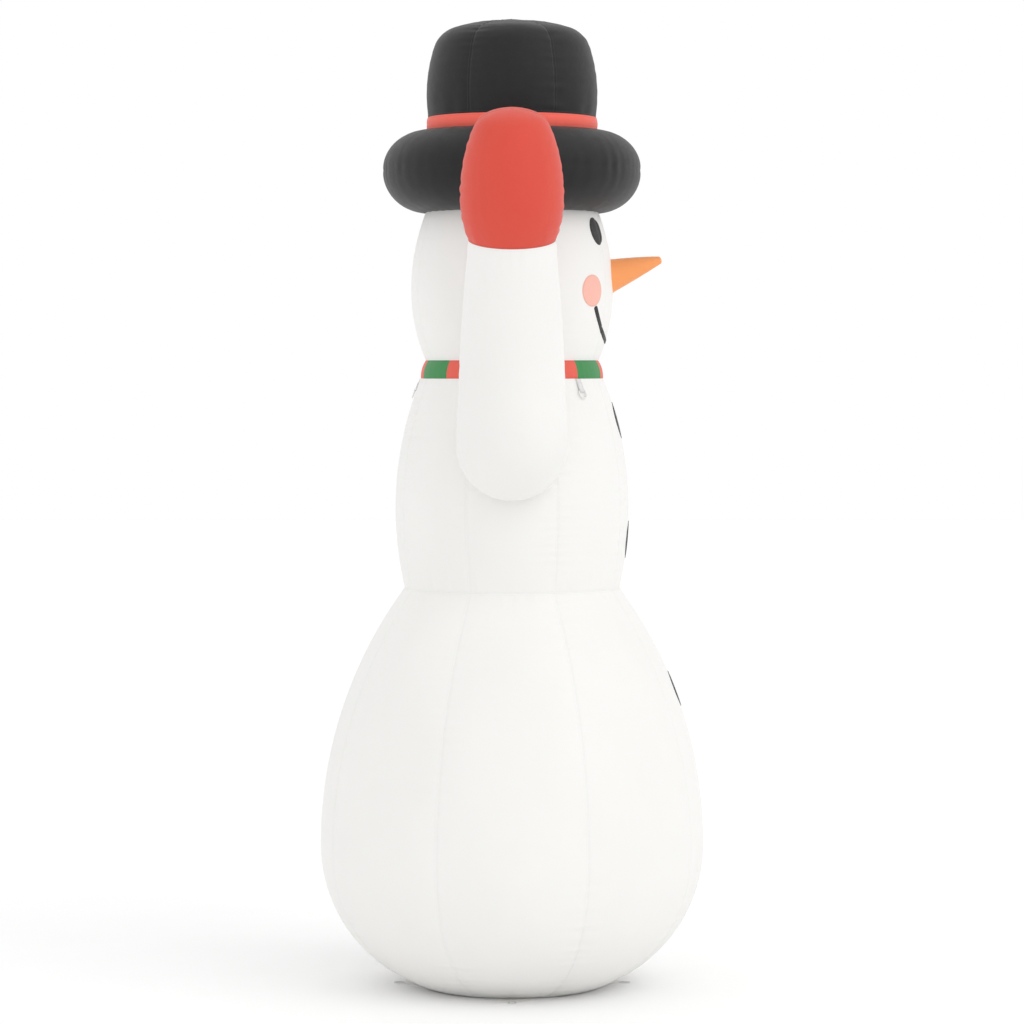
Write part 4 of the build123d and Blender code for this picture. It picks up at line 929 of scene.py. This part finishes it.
def metal(name, colour, rough=0.28, scratches=1.0):
    paint = Paint(name)
    body = paint.node("ShaderNodeTexCoord", "Object")
    stretched = paint.node("ShaderNodeMapping", 0, None, Vector=body, Scale=(900.0, 60.0, 900.0))
    scratch = paint.noise(stretched, 1.0, 2.0)
    cloud = paint.noise(body, 45.0, 3.0)
    tone = paint.blend(cloud, shade(colour, 0.8), shade(colour, 1.08))
    height = scratch * (0.00004 * scratches) + cloud * 0.00012
    bump = paint.node("ShaderNodeBump", 0, None, Strength=0.5, Distance=1.0, Height=height)
    return paint.finish(Base_Color=tone, Metallic=1.0, Roughness=cloud * 0.2 + rough, Normal=bump)


BLACK_PLASTIC = moulded("blower_plastic", (0.028, 0.028, 0.030, 1))
FAN_PLASTIC = moulded("fan_plastic", (0.075, 0.078, 0.085, 1), rough=0.4)
SOCKET_PLASTIC = moulded("socket_plastic", (0.012, 0.012, 0.012, 1), rough=0.28, coat=0.3)
ZIP_PLASTIC = moulded("zip_plastic", (0.74, 0.74, 0.73, 1), rough=0.35)
RUBBER = moulded("rubber", (0.022, 0.022, 0.022, 1), rough=0.7)
LAMP_PLASTIC = moulded("frosted_lamp", (0.85, 0.86, 0.88, 1), rough=0.45)
RING_NYLON = moulded("ring_nylon", (0.80, 0.80, 0.79, 1), rough=0.35)
STEEL = metal("steel", (0.52, 0.52, 0.53, 1))
ZINC = metal("zip_zinc", (0.66, 0.66, 0.65, 1), rough=0.34)
SAND_CLOTH = cloth("sand_bag_cloth", (0.28, 0.26, 0.22, 1))
TAPE = cloth("zip_tape_weave", (0.76, 0.76, 0.75, 1), relief=0.8)

maps = (plain_map, plain_map)
teeth = mesh_object("zip_tooth_rows", tooth_points, tooth_quads, *maps, ZIP_PLASTIC, "zip_teeth")
teeth.data.shade_flat()
FINISHES = {
    BLACK_PLASTIC: [
        "blower_flange", "blower_clamp", "intake_grille", "blower_duct", "outlet_guard", "motor_mount",
    ],
    FAN_PLASTIC: ["blower_fan"],
    SOCKET_PLASTIC: ["power_socket", "lamp_holders"],
    LAMP_PLASTIC: ["lamp_bulbs"],
    RUBBER: ["blower_gasket", "lamp_lead"],
    RING_NYLON: ["tether_ring_front_right", "tether_ring_front_left", "tether_ring_back"],
    STEEL: ["blower_screws", "motor_shaft", "blower_motor"],
    ZINC: ["zip_slider", "zip_pull", "zip_stops"],
    TAPE: ["zip_tape", "lead_ties"],
    SAND_CLOTH: ["ballast_bag"],
}
for material, names in FINISHES.items():
    for name in names:
        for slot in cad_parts[name].material_slots:
            slot.material = material
print("CAD parts finished:", sum(len(names) for names in FINISHES.values()))

# %% [markdown]
# ## Setting
#
# A pale floor, an even white surround and a soft, broad sun from the front right. White cloth needs a
# bright surround, or it turns grey.

# %% Setting
floor_mesh = bpy.data.meshes.new("floor")
floor_mesh.from_pydata([(-40, -40, 0), (40, -40, 0), (40, 40, 0), (-40, 40, 0)], [], [(0, 1, 2, 3)])
floor = bpy.data.objects.new("floor", floor_mesh)
bpy.context.collection.objects.link(floor)
floor_paint = Paint("pale_floor")
floor_spot = floor_paint.node("ShaderNodeTexCoord", "Object")
floor_cloud = floor_paint.noise(floor_spot, 3.0)
floor_tone = floor_paint.blend(floor_cloud, (0.96, 0.96, 0.96, 1), (0.98, 0.98, 0.98, 1))
floor_mesh.materials.append(floor_paint.finish(Base_Color=floor_tone, Roughness=0.8))

world = bpy.data.worlds.new("studio")
bpy.context.scene.world = world
world.use_nodes = True
world.node_tree.nodes["Background"].inputs[0].default_value = (1.0, 1.0, 1.0, 1)
world.node_tree.nodes["Background"].inputs[1].default_value = 1.0
bpy.context.scene.view_settings.view_transform = "Standard"

sun_data = bpy.data.lights.new("key", "SUN")
sun_data.energy, sun_data.angle = 0.42, math.radians(45)
sun = bpy.data.objects.new("key", sun_data)
sun.rotation_euler = Vector((6.0, 8.0, -7.5)).to_track_quat("-Z", "Y").to_euler()
bpy.context.collection.objects.link(sun)
print("setting ready")
